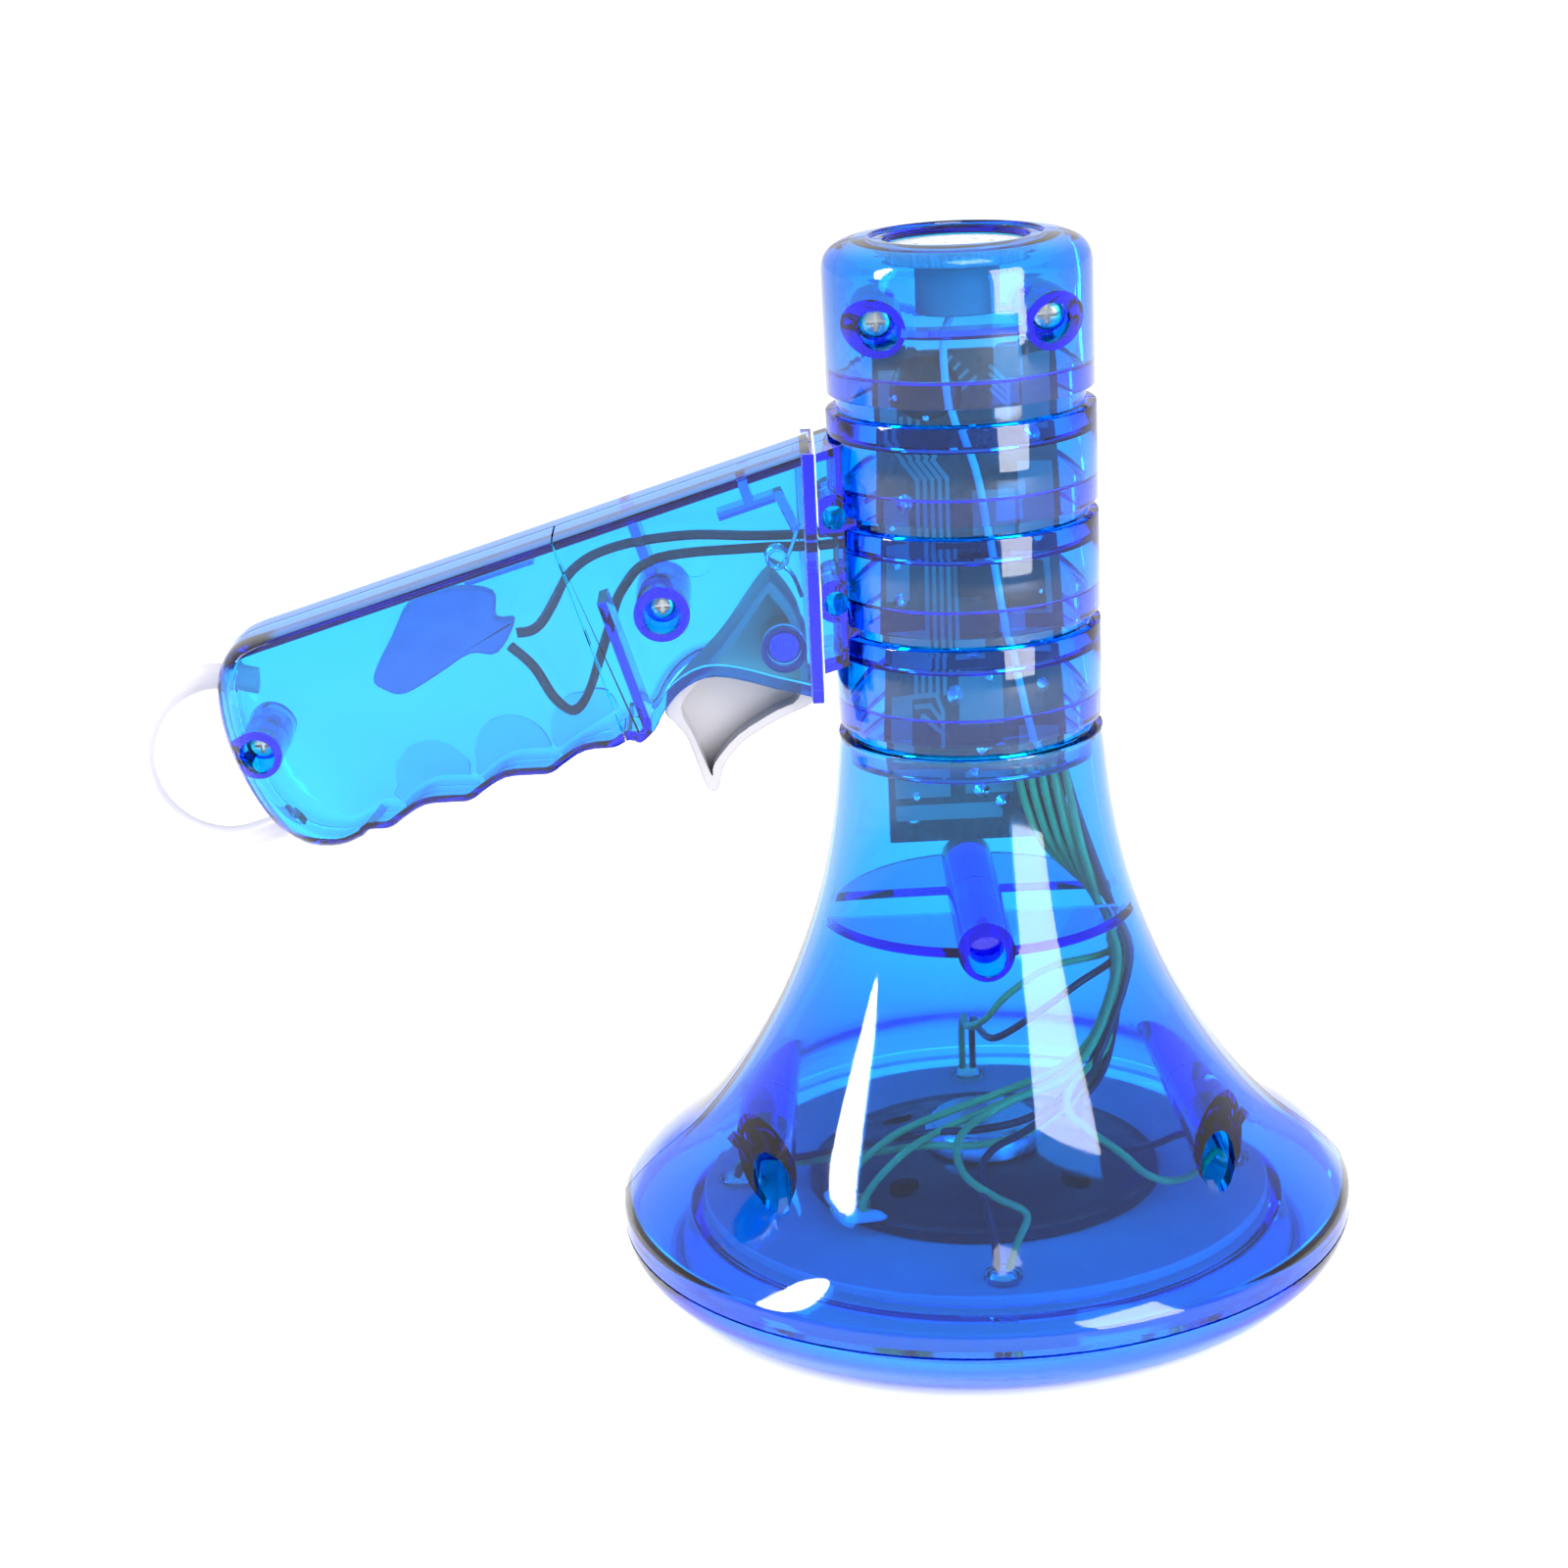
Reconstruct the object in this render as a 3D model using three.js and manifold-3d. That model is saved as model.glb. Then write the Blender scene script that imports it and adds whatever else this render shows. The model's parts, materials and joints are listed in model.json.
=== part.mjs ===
// Toy electronic megaphone, standing on its mouth. Millimetres, +Z up.
// The drawing frame has its origin on the bell axis, level with the rim; the finished group is
// shifted along X so that its origin sits at the centre of the footprint.
import * as THREE from "three";
import { mergeVertices } from "three/addons/utils/BufferGeometryUtils.js";
import Module from "manifold-3d";

const wasm = await Module();
wasm.setup();

// ---- driving dimensions ----
const BELL_AXIS_X = 37.35; // bell axis, measured from the centre of the footprint
const SEAM = 0.15; // half the gap between the near and far half shells
const WALL = 2.0;
const MOUTH_TOP = 9.0; // where the front ring meets the bell
const HEIGHT = 169;
const NECK_R = 21.1;
const GROOVE_R = 19.4;
const HEAD_R = 20.9;
const BELL_PROFILE = [
  [60.1, 9.15], [59.7, 13], [55.2, 18], [47.0, 25], [40.3, 33], [34.5, 42],
  [29.5, 52], [25.2, 64], [22.6, 76], [21.2, 88], [21.1, 90.8],
]; // radius, height
const GROOVES = [[90.8, 92.8], [108.1, 110.0], [125.4, 127.4], [142.6, 145.3]];
const MIC_HOLE_R = 11.3;
const MIC_SEAT = 167.3; // underside of the head, where the microphone grille sits
const HEAD_SCREW = { x: 13, z: 157 };
const BELL_BOSS_Z = 60.6;
const LOW_BOSS = { x: 35, z: 26 };
const BOSS_R = 4.4;
const RECESS_R = 3.0;
const SCREW_R = 1.15;
const PILOT_R = 1.45;
const RING_R = 60.1;
const GRILLE_R = 46.5;
const GRILLE_Z = 10.5;
const SPEAKER_R = 29;
const LED_RING_R = 41;
const BOARD = { x0: -13.5, x1: 14.8, z0: 72, z1: 152.2, y0: -1.8, y1: -0.2 };
const LEVER_Z = [100.4, 117.7, 135.0];
const LEVER_SLOT = 5.5; // half length of the slot each lever runs in
const LEVER_REST = -2.0;
const HANDLE_TILT = (16.5 * Math.PI) / 180;
const HANDLE_TOP = [-23.2, 138.3]; // front end of the handle's top line
const HANDLE_HALF = 10.5;
const HANDLE_ROUND = 6.0; // width over which the handle draws in towards each flat side
const HANDLE_WALL = 1.6;
const COVER_SEAM_U = 42.8;
const FLANGE = { x0: -25.0, x1: -23.4, z0: 98.4, z1: 137.6, y: 10.9 };
const BRACKET = { x0: -23.0, y: 9.0, wall: 1.8 };
const BRACKET_BOSSES = [[-20.6, 127.3], [-20.7, 113.7]];
const TRIGGER_PIVOT = [-29.2, 106.7];
const TRIGGER_HALF = 5.9;
const HANDLE_SCREW = [-47.9, 113.4];
const COVER_SCREW = [-112.5, 93.8];
const LOOP_R = 2.1;
const BLUE = 0x1f7fe6;
const GREY = 0xc9cbd0;

// ---- solid helpers ----
function solidOf(geometry) {
  const bare = new THREE.BufferGeometry();
  bare.setAttribute("position", geometry.getAttribute("position"));
  bare.setIndex(geometry.index);
  const g = mergeVertices(bare, 1e-3);
  const p = g.getAttribute("position").array;
  const tris = [];
  let volume = 0;
  for (let i = 0; i < g.index.count; i += 3) {
    const [a, b, c] = [0, 1, 2].map((k) => g.index.getX(i + k));
    if (a === b || b === c || a === c) continue;
    tris.push(a, b, c);
    const v = [a, b, c].map((k) => new THREE.Vector3(p[3 * k], p[3 * k + 1], p[3 * k + 2]));
    volume += v[0].dot(v[1].cross(v[2]));
  }
  if (volume < 0) tris.reverse();
  return new wasm.Manifold(
    new wasm.Mesh({ numProp: 3, vertProperties: p, triVerts: new Uint32Array(tris) }),
  );
}

function geometryOf(solid) {
  const m = solid.getMesh();
  const g = new THREE.BufferGeometry();
  g.setAttribute("position", new THREE.BufferAttribute(new Float32Array(m.vertProperties), 3));
  g.setIndex(new THREE.BufferAttribute(new Uint32Array(m.triVerts), 1));
  g.computeVertexNormals();
  return g;
}

const union = (list) => list.reduce((a, b) => a.add(b));
const cut = (from, list) => list.reduce((a, b) => a.subtract(b), from);

function lathe(points, segments = 32) {
  const g = new THREE.LatheGeometry(points.map(([r, z]) => new THREE.Vector2(r, z)), segments);
  g.rotateX(Math.PI / 2);
  return solidOf(g);
}

function ring(points, segments) {
  return lathe([...points, points[0]], segments);
}

function box(x0, x1, y0, y1, z0, z1) {
  const g = new THREE.BoxGeometry(x1 - x0, y1 - y0, z1 - z0);
  g.translate((x0 + x1) / 2, (y0 + y1) / 2, (z0 + z1) / 2);
  return solidOf(g);
}

function barY(x, z, radius, y0, y1, segments = 20) {
  const g = new THREE.CylinderGeometry(radius, radius, Math.abs(y1 - y0), segments);
  g.translate(x, (y0 + y1) / 2, z);
  return solidOf(g);
}

function barZ(x, y, radius, z0, z1, segments = 20) {
  const g = new THREE.CylinderGeometry(radius, radius, z1 - z0, segments);
  g.rotateX(Math.PI / 2);
  g.translate(x, y, (z0 + z1) / 2);
  return solidOf(g);
}

// An outline in the X-Z plane pushed along Y from y0 to y1, with a rounded edge of size round.
function slabY(outline, y0, y1, round = 0, offset = 0) {
  const shape = new THREE.Shape(outline.map(([x, z]) => new THREE.Vector2(x, z)));
  const g = new THREE.ExtrudeGeometry(shape, {
    depth: y1 - y0 - 2 * round,
    bevelEnabled: round > 0,
    bevelSize: round,
    bevelThickness: round,
    bevelOffset: offset - round,
    bevelSegments: 2,
    curveSegments: 4,
  });
  g.rotateX(Math.PI / 2);
  g.translate(0, y1 - round, 0);
  return solidOf(g);
}

// A round wire or rod along a smooth curve through the points.
function rod(points, radius, steps, sides = 6, tension = 0.5) {
  const path = new THREE.CatmullRomCurve3(
    points.map((p) => new THREE.Vector3(...p)), false, "catmullrom", tension);
  const shape = new THREE.Shape();
  for (let i = 0; i < sides; i++) {
    const a = (2 * Math.PI * i) / sides;
    const x = radius * Math.cos(a);
    const y = radius * Math.sin(a);
    if (i === 0) shape.moveTo(x, y);
    else shape.lineTo(x, y);
  }
  shape.closePath();
  const g = new THREE.ExtrudeGeometry(shape, {
    steps, extrudePath: path, bevelEnabled: false, curveSegments: 1 });
  return solidOf(g);
}

const group = new THREE.Group();
group.name = "toy_megaphone";
group.position.x = BELL_AXIS_X;

function add(name, solid, color, roughness = 0.5, metalness = 0) {
  const material = new THREE.MeshStandardMaterial({ color, roughness, metalness });
  const mesh = new THREE.Mesh(geometryOf(solid), material);
  mesh.name = name;
  group.add(mesh);
}

// ---- body shells: bell, banded neck and microphone head, split on the plane Y = 0 ----
const bellCurve = new THREE.SplineCurve(BELL_PROFILE.map(([r, z]) => new THREE.Vector2(r, z)));
const bellOuter = bellCurve.getPoints(11).map((p) => [p.x, p.y]);
const bellInner = bellOuter.map(([r, z], i) => {
  const a = bellOuter[Math.max(i - 1, 0)];
  const b = bellOuter[Math.min(i + 1, bellOuter.length - 1)];
  const length = Math.hypot(b[0] - a[0], b[1] - a[1]);
  const dr = (b[1] - a[1]) / length;
  const dz = -(b[0] - a[0]) / length;
  return [r - WALL * dr, i === 0 ? z : z - WALL * dz];
});

const neckOuter = [];
const neckInner = [];
GROOVES.forEach(([z0, z1]) => {
  neckOuter.push([NECK_R, z0], [GROOVE_R, z0], [GROOVE_R, z1], [NECK_R, z1]);
  neckInner.push([NECK_R - WALL, z0 - 1], [GROOVE_R - WALL, z0 - 0.4],
    [GROOVE_R - WALL, z1 + 0.4], [NECK_R - WALL, z1 + 1]);
});
neckOuter.pop();
neckOuter.push([HEAD_R, GROOVES[3][1]]);

const headOuter = [
  [HEAD_R, 164.4], [20.5, 166.6], [19.4, 167.8], [17.6, 168.6], [15.4, 168.9], [13.7, HEIGHT]];
const outerProfile = [...bellOuter.slice(0, -1), ...neckOuter, ...headOuter];
const innerProfile = [...bellInner.slice(0, -1), ...neckInner, [HEAD_R - WALL, 164.6],
  [18.0, 166.2], [16.4, MIC_SEAT]];

const envelope = lathe([[0, outerProfile[0][1]], ...outerProfile, [0, HEIGHT]]);
const cavity = lathe([
  [0, outerProfile[0][1] - 1], [innerProfile[0][0], outerProfile[0][1] - 1],
  ...innerProfile, [0, MIC_SEAT]]);
const micOpening = lathe([
  [0, 160], [MIC_HOLE_R, 160], [MIC_HOLE_R, 168.5], [13.4, 168.5], [13.4, 175], [0, 175]]);

// Horizontal stiffening plate: a slice of the inside, left out between -gap and +gap in Y.
function plate(z, thick, gap, x0, x1) {
  const slice = box(x0, x1, -60, 60, z - thick / 2, z + thick / 2);
  return slice.subtract(box(-80, 80, -gap, gap, z - thick, z + thick));
}

const bossSpots = [
  [-HEAD_SCREW.x, HEAD_SCREW.z], [HEAD_SCREW.x, HEAD_SCREW.z], [0, BELL_BOSS_Z],
  [-LOW_BOSS.x, LOW_BOSS.z], [LOW_BOSS.x, LOW_BOSS.z]];
const bosses = bossSpots.map(([x, z]) => barY(x, z, BOSS_R, -60, 60));
const bossWall = [-6.6, -6.6, -21, -12, -12]; // floor of each recess in the near shell
const recesses = bossSpots.map(([x, z], i) => barY(x, z, RECESS_R, -70, bossWall[i]));
const pilots = bossSpots.slice(0, 2).map(([x, z]) => barY(x, z, PILOT_R, -70, 8, 12));

const ribs = [
  plate(HEAD_SCREW.z - 0.6, 1.4, 13.5, -19, 19),
  plate(BELL_BOSS_Z, 1.5, 6.4, -40, 40),
  plate(LOW_BOSS.z, 1.3, 12, LOW_BOSS.x, 50),
  plate(LOW_BOSS.z, 1.3, 12, -50, -LOW_BOSS.x),
];

// Bracket: hollow stub on the neck that carries the handle.
const BRACKET_OUTLINE = [
  [BRACKET.x0, 102.5], [-17.0, 104.2], [-17.0, 139.1], [BRACKET.x0, 137.4]];
const bracketBlock = slabY(BRACKET_OUTLINE, -BRACKET.y, BRACKET.y);
const bracketHollow = slabY(
  [[BRACKET.x0 - 1, 104.3], [-16.8, 105.9], [-16.8, 137.2], [BRACKET.x0 - 1, 135.6]],
  -BRACKET.y + BRACKET.wall, BRACKET.y - BRACKET.wall);
const bracketBosses = BRACKET_BOSSES.map(([x, z]) =>
  barY(x, z, 3.4, -BRACKET.y, BRACKET.y, 16).intersect(box(BRACKET.x0, 0, -20, 20, 90, 150)));
const bracketHoles = BRACKET_BOSSES.map(([x, z]) => barY(x, z, 1.9, -20, -3.5, 12));
const wirePassage = box(-30, -15, -5.2, 5.2, 117.8, 124.4);

const leverSlots = LEVER_Z.map((z) =>
  box(-LEVER_SLOT, LEVER_SLOT, 12, 30, z - 1.6, z + 1.6));

const neckCore = barZ(0, 0, 19.25, 88, 150, 32);
const neckRound = barZ(0, 0, NECK_R + 0.2, 88, 150, 32);
const body = cut(
  union([
    envelope.subtract(cavity),
    union([...bosses, ...ribs]).intersect(envelope),
    bracketBlock.subtract(neckCore),
  ]),
  [micOpening, bracketHollow.subtract(neckRound), ...recesses, ...pilots, ...leverSlots],
);
const shell = cut(
  body.add(union(bracketBosses).subtract(neckCore)), [...bracketHoles, wirePassage]);
const nearHalf = box(-200, 200, -200, -SEAM, -10, 200);
const farHalf = box(-200, 200, SEAM, 200, -10, 200);
add("body_shell_near", shell.intersect(nearHalf), BLUE, 0.15);
add("body_shell_far", shell.intersect(farHalf), BLUE, 0.15);

// ---- front ring, grille and loudspeaker ----
add("front_ring", ring([
  [RING_R, 8.85], [58.6, 5], [55.7, 2], [52.6, 0], [50.3, 0], [48.8, 1.4], [47.0, 8.6],
  [44.5, 8.6], [44.5, 10.2], [48.6, 10.2], [50.6, 2.9], [52.4, 2.2], [54.6, 4.0],
  [57.0, 6.6], [58.0, 8.85]], 48), BLUE, 0.15);

const grilleSlots = [-18, -12, -6, 0, 6, 12, 18].map((x) => {
  const half = Math.sqrt(23 * 23 - x * x);
  return box(x - 1.3, x + 1.3, -half, half, 0, 20);
});
const ledSpots = [270, 0, 90, 180].map((a) => [
  LED_RING_R * Math.cos((a * Math.PI) / 180), LED_RING_R * Math.sin((a * Math.PI) / 180)]);
add("speaker_grille", cut(
  lathe([[0, GRILLE_Z], [GRILLE_R, GRILLE_Z], [GRILLE_R, GRILLE_Z + 1.8], [0, GRILLE_Z + 1.8]], 40),
  [...grilleSlots, ...ledSpots.map(([x, y]) => barZ(x, y, 2.8, 0, 20, 14))]), GREY, 0.6);

add("speaker_basket", ring([
  [SPEAKER_R, 12.6], [SPEAKER_R, 14.4], [26.8, 14.4], [14.0, 17.6], [8.2, 17.6], [8.2, 16.4],
  [13.6, 16.4], [24.6, 13.6], [24.6, 12.6]], 36), 0x23262c, 0.5);
add("speaker_cone", ring([
  [24.2, 12.8], [24.2, 13.3], [10.0, 15.5], [5.0, 16.0], [0, 16.0], [0, 15.4], [5.0, 15.4],
  [10.0, 14.9], [22.6, 12.8]], 24), 0x1b1b1d, 0.9);
add("speaker_magnet", lathe([
  [0, 17.9], [9.6, 17.9], [9.6, 21.6], [8.6, 21.6], [8.6, 22.6], [0, 22.6]], 28),
  0xb9bcc2, 0.3, 0.8);
add("speaker_terminal", box(-26.0, -19.5, -21.0, -16.0, 15.6, 16.7), 0xb98a4a, 0.7);
["near", "right", "far", "left"].forEach((side, i) => {
  const [x, y] = ledSpots[i];
  const lens = barZ(x, y, 2.5, 7.0, 13.4, 14).add(barZ(x, y, 2.95, 12.6, 13.6, 14));
  add("led_" + side, lens, 0xe9edf2, 0.1);
});

// ---- microphone ----
const micHoles = [];
for (let i = 0; i < 6; i++) {
  const a = (i * Math.PI) / 3;
  micHoles.push(barZ(6 * Math.cos(a), 6 * Math.sin(a), 0.9, 160, 170, 8));
}
add("mic_grille", cut(
  lathe([[0, 165.2], [12.6, 165.2], [12.6, 167.0], [0, 167.0]], 28),
  [...micHoles, barZ(0, 0, 0.9, 160, 170, 8)]), 0xb4b8be, 0.6);
add("mic_holder", ring([[5.1, 157.6], [6.5, 157.6], [6.5, 164.8], [5.1, 164.8]], 20), GREY, 0.6);
add("mic_capsule", lathe([[0, 159.4], [4.8, 159.4], [4.8, 164.2], [0, 164.2]], 18),
  0x9a9da3, 0.35, 0.8);

// ---- circuit board and its parts ----
add("circuit_board", box(BOARD.x0, BOARD.x1, BOARD.y0, BOARD.y1, BOARD.z0, BOARD.z1),
  0x0e5a46, 0.45);
add("voice_chip", box(-8, 0, 0.1, 2.4, 105.5, 112.5), 0x141518, 0.5);
add("amplifier_chip", box(3, 10, 0.1, 2.6, 80, 89), 0x141518, 0.5);
add("capacitor_large", barZ(-8.2, 5.4, 4.4, 78, 90, 18), 0x23304c, 0.4);
add("capacitor_small", barZ(8.6, 3.6, 2.9, 145.3, 152, 14), 0x23304c, 0.4);
LEVER_Z.forEach((z, i) => {
  const housing = box(-7.2, 7.2, 0.1, 6.8, z - 3.4, z + 3.4);
  const slot = box(-5.4, 5.4, 2.6, 7.5, z - 1.7, z + 1.7);
  add("voice_switch_" + (i + 1), housing.subtract(slot), 0x8f949b, 0.35, 0.6);
  const stem = box(LEVER_REST - 1.3, LEVER_REST + 1.3, 2.9, 20, z - 1.3, z + 1.3);
  const cap = box(LEVER_REST - 3.0, LEVER_REST + 3.0, 21.6, 25.2, z - 2.6, z + 2.6);
  const link = box(LEVER_REST - 1.3, LEVER_REST + 1.3, 19, 22, z - 1.3, z + 1.3);
  add("voice_lever_" + (i + 1), union([stem, link, cap]), GREY, 0.55);
});

// ---- screws: washer head with a cross recess, seen from the near side ----
function screw(x, z, headR, headY, tipY) {
  const reach = 0.6 * headR;
  const head = barY(x, z, headR, headY, headY + 1.4, 14);
  const shank = barY(x, z, SCREW_R, headY + 1.2, tipY, 10);
  const slotA = box(x - reach, x + reach, headY - 1, headY + 0.8, z - 0.3, z + 0.3);
  const slotB = box(x - 0.3, x + 0.3, headY - 1, headY + 0.8, z - reach, z + reach);
  return cut(head.add(shank), [slotA, slotB]);
}
add("head_screw_left", screw(-HEAD_SCREW.x, HEAD_SCREW.z, 2.5, -8.3, 7), 0xb8bcc2, 0.3, 1);
add("head_screw_right", screw(HEAD_SCREW.x, HEAD_SCREW.z, 2.5, -8.3, 7), 0xb8bcc2, 0.3, 1);

// ---- handle ----
const eu = [-Math.cos(HANDLE_TILT), -Math.sin(HANDLE_TILT)];
const ev = [Math.sin(HANDLE_TILT), -Math.cos(HANDLE_TILT)];
const atUV = (u, v) => [
  HANDLE_TOP[0] + u * eu[0] + v * ev[0], HANDLE_TOP[1] + u * eu[1] + v * ev[1]];
// Points around the handle: u, v, then how far the outline draws in at the near and far sides.
const GRIP_END = [
  [88, 0, 0.6, 5.0], [94.5, 0.1, 1.4, 5.0], [98.0, 1.5, 3.2, 5.2], [100.6, 4.8, 4.8, 5.4],
  [102.2, 9.5, 5.4, 5.4], [102.9, 15, 5.5, 5.5], [102.7, 21, 5.5, 5.5], [101.7, 26.5, 5.4, 5.4],
  [99.6, 31.4, 4.6, 4.6], [96.2, 34.8, 3.2, 3.2], [91.6, 36.2, 2.2, 2.2], [87.5, 35.8, 1.6, 1.6]];
const GRIP_RIDGES = [83, 69.5, 56];
const fingers = [];
GRIP_RIDGES.forEach((u) => {
  fingers.push([u + 3, 35.1], [u, 35.9], [u - 3, 35.1], [u - 6.6, 34.2]);
});
const GUARD = [
  [-52.2, 92.7], [-49.7, 94.8], [-48.1, 97.7], [-45.5, 100.7], [-41.6, 102.7], [-37.0, 102.3],
  [-31.0, 100.4]];
const handleOutline = [
  [-23.3, 138.3, 0.6, 5.0], ...GRIP_END.map(([u, v, near, far]) => [...atUV(u, v), near, far]),
  ...fingers.map(([u, v]) => [...atUV(u, v), 1.3, 1.3]), [...atUV(45, 35.1), 1.1, 1.1],
  [...atUV(42.4, 34.6), 0.8, 0.8], ...GUARD.map(([x, z]) => [x, z, 0.6, 0.6]),
  [-23.3, 98.2, 0.6, 0.6]];

// The outline moved inwards, point by point, by the distance that by returns.
function inset(outline, by) {
  return outline.map((p, i) => {
    const a = outline[(i + outline.length - 1) % outline.length];
    const b = outline[(i + 1) % outline.length];
    const n1 = new THREE.Vector2(a[1] - p[1], p[0] - a[0]).normalize();
    const n2 = new THREE.Vector2(p[1] - b[1], b[0] - p[0]).normalize();
    const n = n1.clone().add(n2);
    const move = by(p) / n.dot(n1);
    return [p[0] + move * n.x, p[1] + move * n.y];
  });
}

// The handle's full shape, or with a wall thickness the hollow inside it.
function crowned(outline, wall) {
  const half = HANDLE_HALF - wall;
  const reach = HANDLE_ROUND - wall;
  const layers = [-3, -2, -1, 0, 0, 1, 2, 3].map((k, i) => {
    const a = (Math.abs(k) * Math.PI) / 6;
    const side = i < 4 ? -1 : 1;
    return { y: side * (half - reach + reach * Math.sin(a)), share: 1 - Math.cos(a), side };
  });
  const rows = layers.map(({ share, side }) => inset(outline, (p) =>
    wall + share * Math.max(p[side < 0 ? 2 : 3] - wall, 0.3)));
  const n = outline.length;
  const positions = rows.flatMap((row, k) => row.flatMap(([x, z]) => [x, layers[k].y, z]));
  const index = [];
  for (let k = 0; k + 1 < rows.length; k++) {
    for (let i = 0; i < n; i++) {
      const j = (i + 1) % n;
      const [a, b, c, e] = [k * n + i, k * n + j, (k + 1) * n + j, (k + 1) * n + i];
      index.push(a, b, c, a, c, e);
    }
  }
  [0, rows.length - 1].forEach((k) => {
    const contour = rows[k].map(([x, z]) => new THREE.Vector2(x, z));
    THREE.ShapeUtils.triangulateShape(contour, []).forEach(([a, b, c]) => {
      index.push(...(k === 0 ? [a, c, b] : [k * n + a, k * n + b, k * n + c]));
    });
  });
  const g = new THREE.BufferGeometry();
  g.setAttribute("position", new THREE.Float32BufferAttribute(positions, 3));
  g.setIndex(index);
  return solidOf(g);
}

const H = HANDLE_HALF;
const handleOuter = crowned(handleOutline, 0);
const handleHollow = crowned(handleOutline, HANDLE_WALL);
const flange = box(FLANGE.x0, FLANGE.x1, -FLANGE.y, FLANGE.y, FLANGE.z0, FLANGE.z1);
const handleTrim = box(-200, FLANGE.x0 + 0.9, -50, 50, 0, 200);
const triggerSlot = box(-50.6, FLANGE.x0 - 0.4, -6.4, 6.4, 90, 105.4);
const handleWireHole = box(-30, -15, -5.2, 5.2, 117.8, 124.4);

// Carry loop: a round bar whose two ends go into the end of the handle.
const loopCentre = [-119.0, 91.0];
const loopPoints = [];
for (let i = 0; i <= 10; i++) {
  const a = ((80 + i * 21.2) * Math.PI) / 180;
  loopPoints.push([loopCentre[0] + 13.6 * Math.cos(a), 0, loopCentre[1] + 13.6 * Math.sin(a)]);
}
loopPoints.unshift([-112.2, 0, 103.6]);
loopPoints.push([-108.6, 0, 80.4]);
const loopClearance = rod(loopPoints, LOOP_R + 0.35, 30, 8);

const compartmentWall = slabY(
  [atUV(38.2, 12), atUV(39.7, 12), atUV(39.7, 33.5), atUV(38.2, 33.5)], -H + 1, -SEAM);
const ribNear = slabY(
  [atUV(13.2, 6.2), atUV(13.2, 4.8), atUV(20.5, 4.8), atUV(20.5, 6.2)], -H + 1, -4.5);
const ribNearStem = slabY(
  [atUV(16.4, 1), atUV(17.6, 1), atUV(17.6, 6), atUV(16.4, 6)], -H + 1, -4.5);
const screwBoss = barY(HANDLE_SCREW[0], HANDLE_SCREW[1], BOSS_R, -H + 0.5, H - 0.5);
const coverBoss = barY(COVER_SCREW[0], COVER_SCREW[1], 3.9, -H + 0.5, H - 0.5);
const pivotPost = barY(...TRIGGER_PIVOT, 2.35, -6.6, H - 0.5);
const pivotSocket = barY(...TRIGGER_PIVOT, 3.6, -H + 0.5, -6.2);
const handleHoles = [
  barY(HANDLE_SCREW[0], HANDLE_SCREW[1], RECESS_R, -20, -2.8),
  barY(HANDLE_SCREW[0], HANDLE_SCREW[1], PILOT_R, -20, 7.2, 12),
  barY(COVER_SCREW[0], COVER_SCREW[1], 2.8, -20, -2.0),
  barY(COVER_SCREW[0], COVER_SCREW[1], PILOT_R, -20, 7.2, 12),
  triggerSlot, handleWireHole, loopClearance,
];
const handleShell = handleOuter.subtract(handleHollow)
  .add(union([compartmentWall, ribNear, ribNearStem, screwBoss, coverBoss]).intersect(handleOuter))
  .intersect(handleTrim)
  .add(flange);
const handleBody = cut(handleShell, handleHoles);
const seamLine = (u, v) => atUV(u, v);
const frontZone = slabY([
  seamLine(COVER_SEAM_U - 0.15, -30), [40, 150], [40, 60], seamLine(COVER_SEAM_U - 0.15, 60)],
  -40, 40);
const coverZone = slabY([
  seamLine(COVER_SEAM_U + 0.15, -30), seamLine(COVER_SEAM_U + 0.15, 60),
  seamLine(140, 60), seamLine(140, -30)], -40, 40);
const socketHole = barY(...TRIGGER_PIVOT, 2.7, -8.4, 0);
add("handle_shell_far",
  handleBody.intersect(farHalf).add(pivotPost), BLUE, 0.15);
add("handle_shell_near",
  handleBody.intersect(nearHalf).intersect(frontZone)
    .add(pivotSocket.intersect(handleOuter)).subtract(socketHole), BLUE, 0.15);
add("battery_cover", handleBody.intersect(nearHalf).intersect(coverZone), BLUE, 0.15);
add("handle_screw", screw(HANDLE_SCREW[0], HANDLE_SCREW[1], 2.0, -4.6, 6.6), 0xb8bcc2, 0.3, 1);
add("battery_cover_screw", screw(COVER_SCREW[0], COVER_SCREW[1], 2.0, -3.8, 6.6), 0xb8bcc2, 0.3, 1);
add("carry_loop", rod(loopPoints, LOOP_R, 30, 8), 0xe3e2e6, 0.5);

// ---- trigger and its torsion spring ----
const triggerOutline = [
  [-48.3, 97.2], [-46.9, 94.6], [-45.3, 92.4], [-44.1, 89.0], [-42.3, 83.6], [-40.5, 83.3],
  [-39.7, 87.2], [-36.1, 91.2], [-30.4, 94.6], [-24.9, 97.0], [-25.8, 99.4], [-25.7, 104.0],
  [-26.8, 111.0], [-30.2, 116.4], [-32.4, 116.4], [-38.8, 107.4], [-44.0, 102.2]];
const triggerPocket = [
  [-45.9, 97.4], [-44.1, 92.6], [-42.9, 89.2], [-41.5, 85.8], [-41.0, 87.9], [-37.0, 92.4],
  [-31.0, 96.0], [-27.2, 98.0], [-27.0, 104.0], [-28.1, 110.4], [-30.9, 115.0], [-31.8, 115.0],
  [-37.7, 106.6], [-42.9, 101.4]];
const TH = TRIGGER_HALF;
const trigger = cut(slabY(triggerOutline, -TH, TH), [
  slabY(triggerPocket, -TH - 1, -1.4), slabY(triggerPocket, 1.4, TH + 1)])
  .add(barY(...TRIGGER_PIVOT, 3.6, -TH, TH))
  .subtract(barY(...TRIGGER_PIVOT, 2.65, -20, 20));
add("trigger", trigger, GREY, 0.5);

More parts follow.
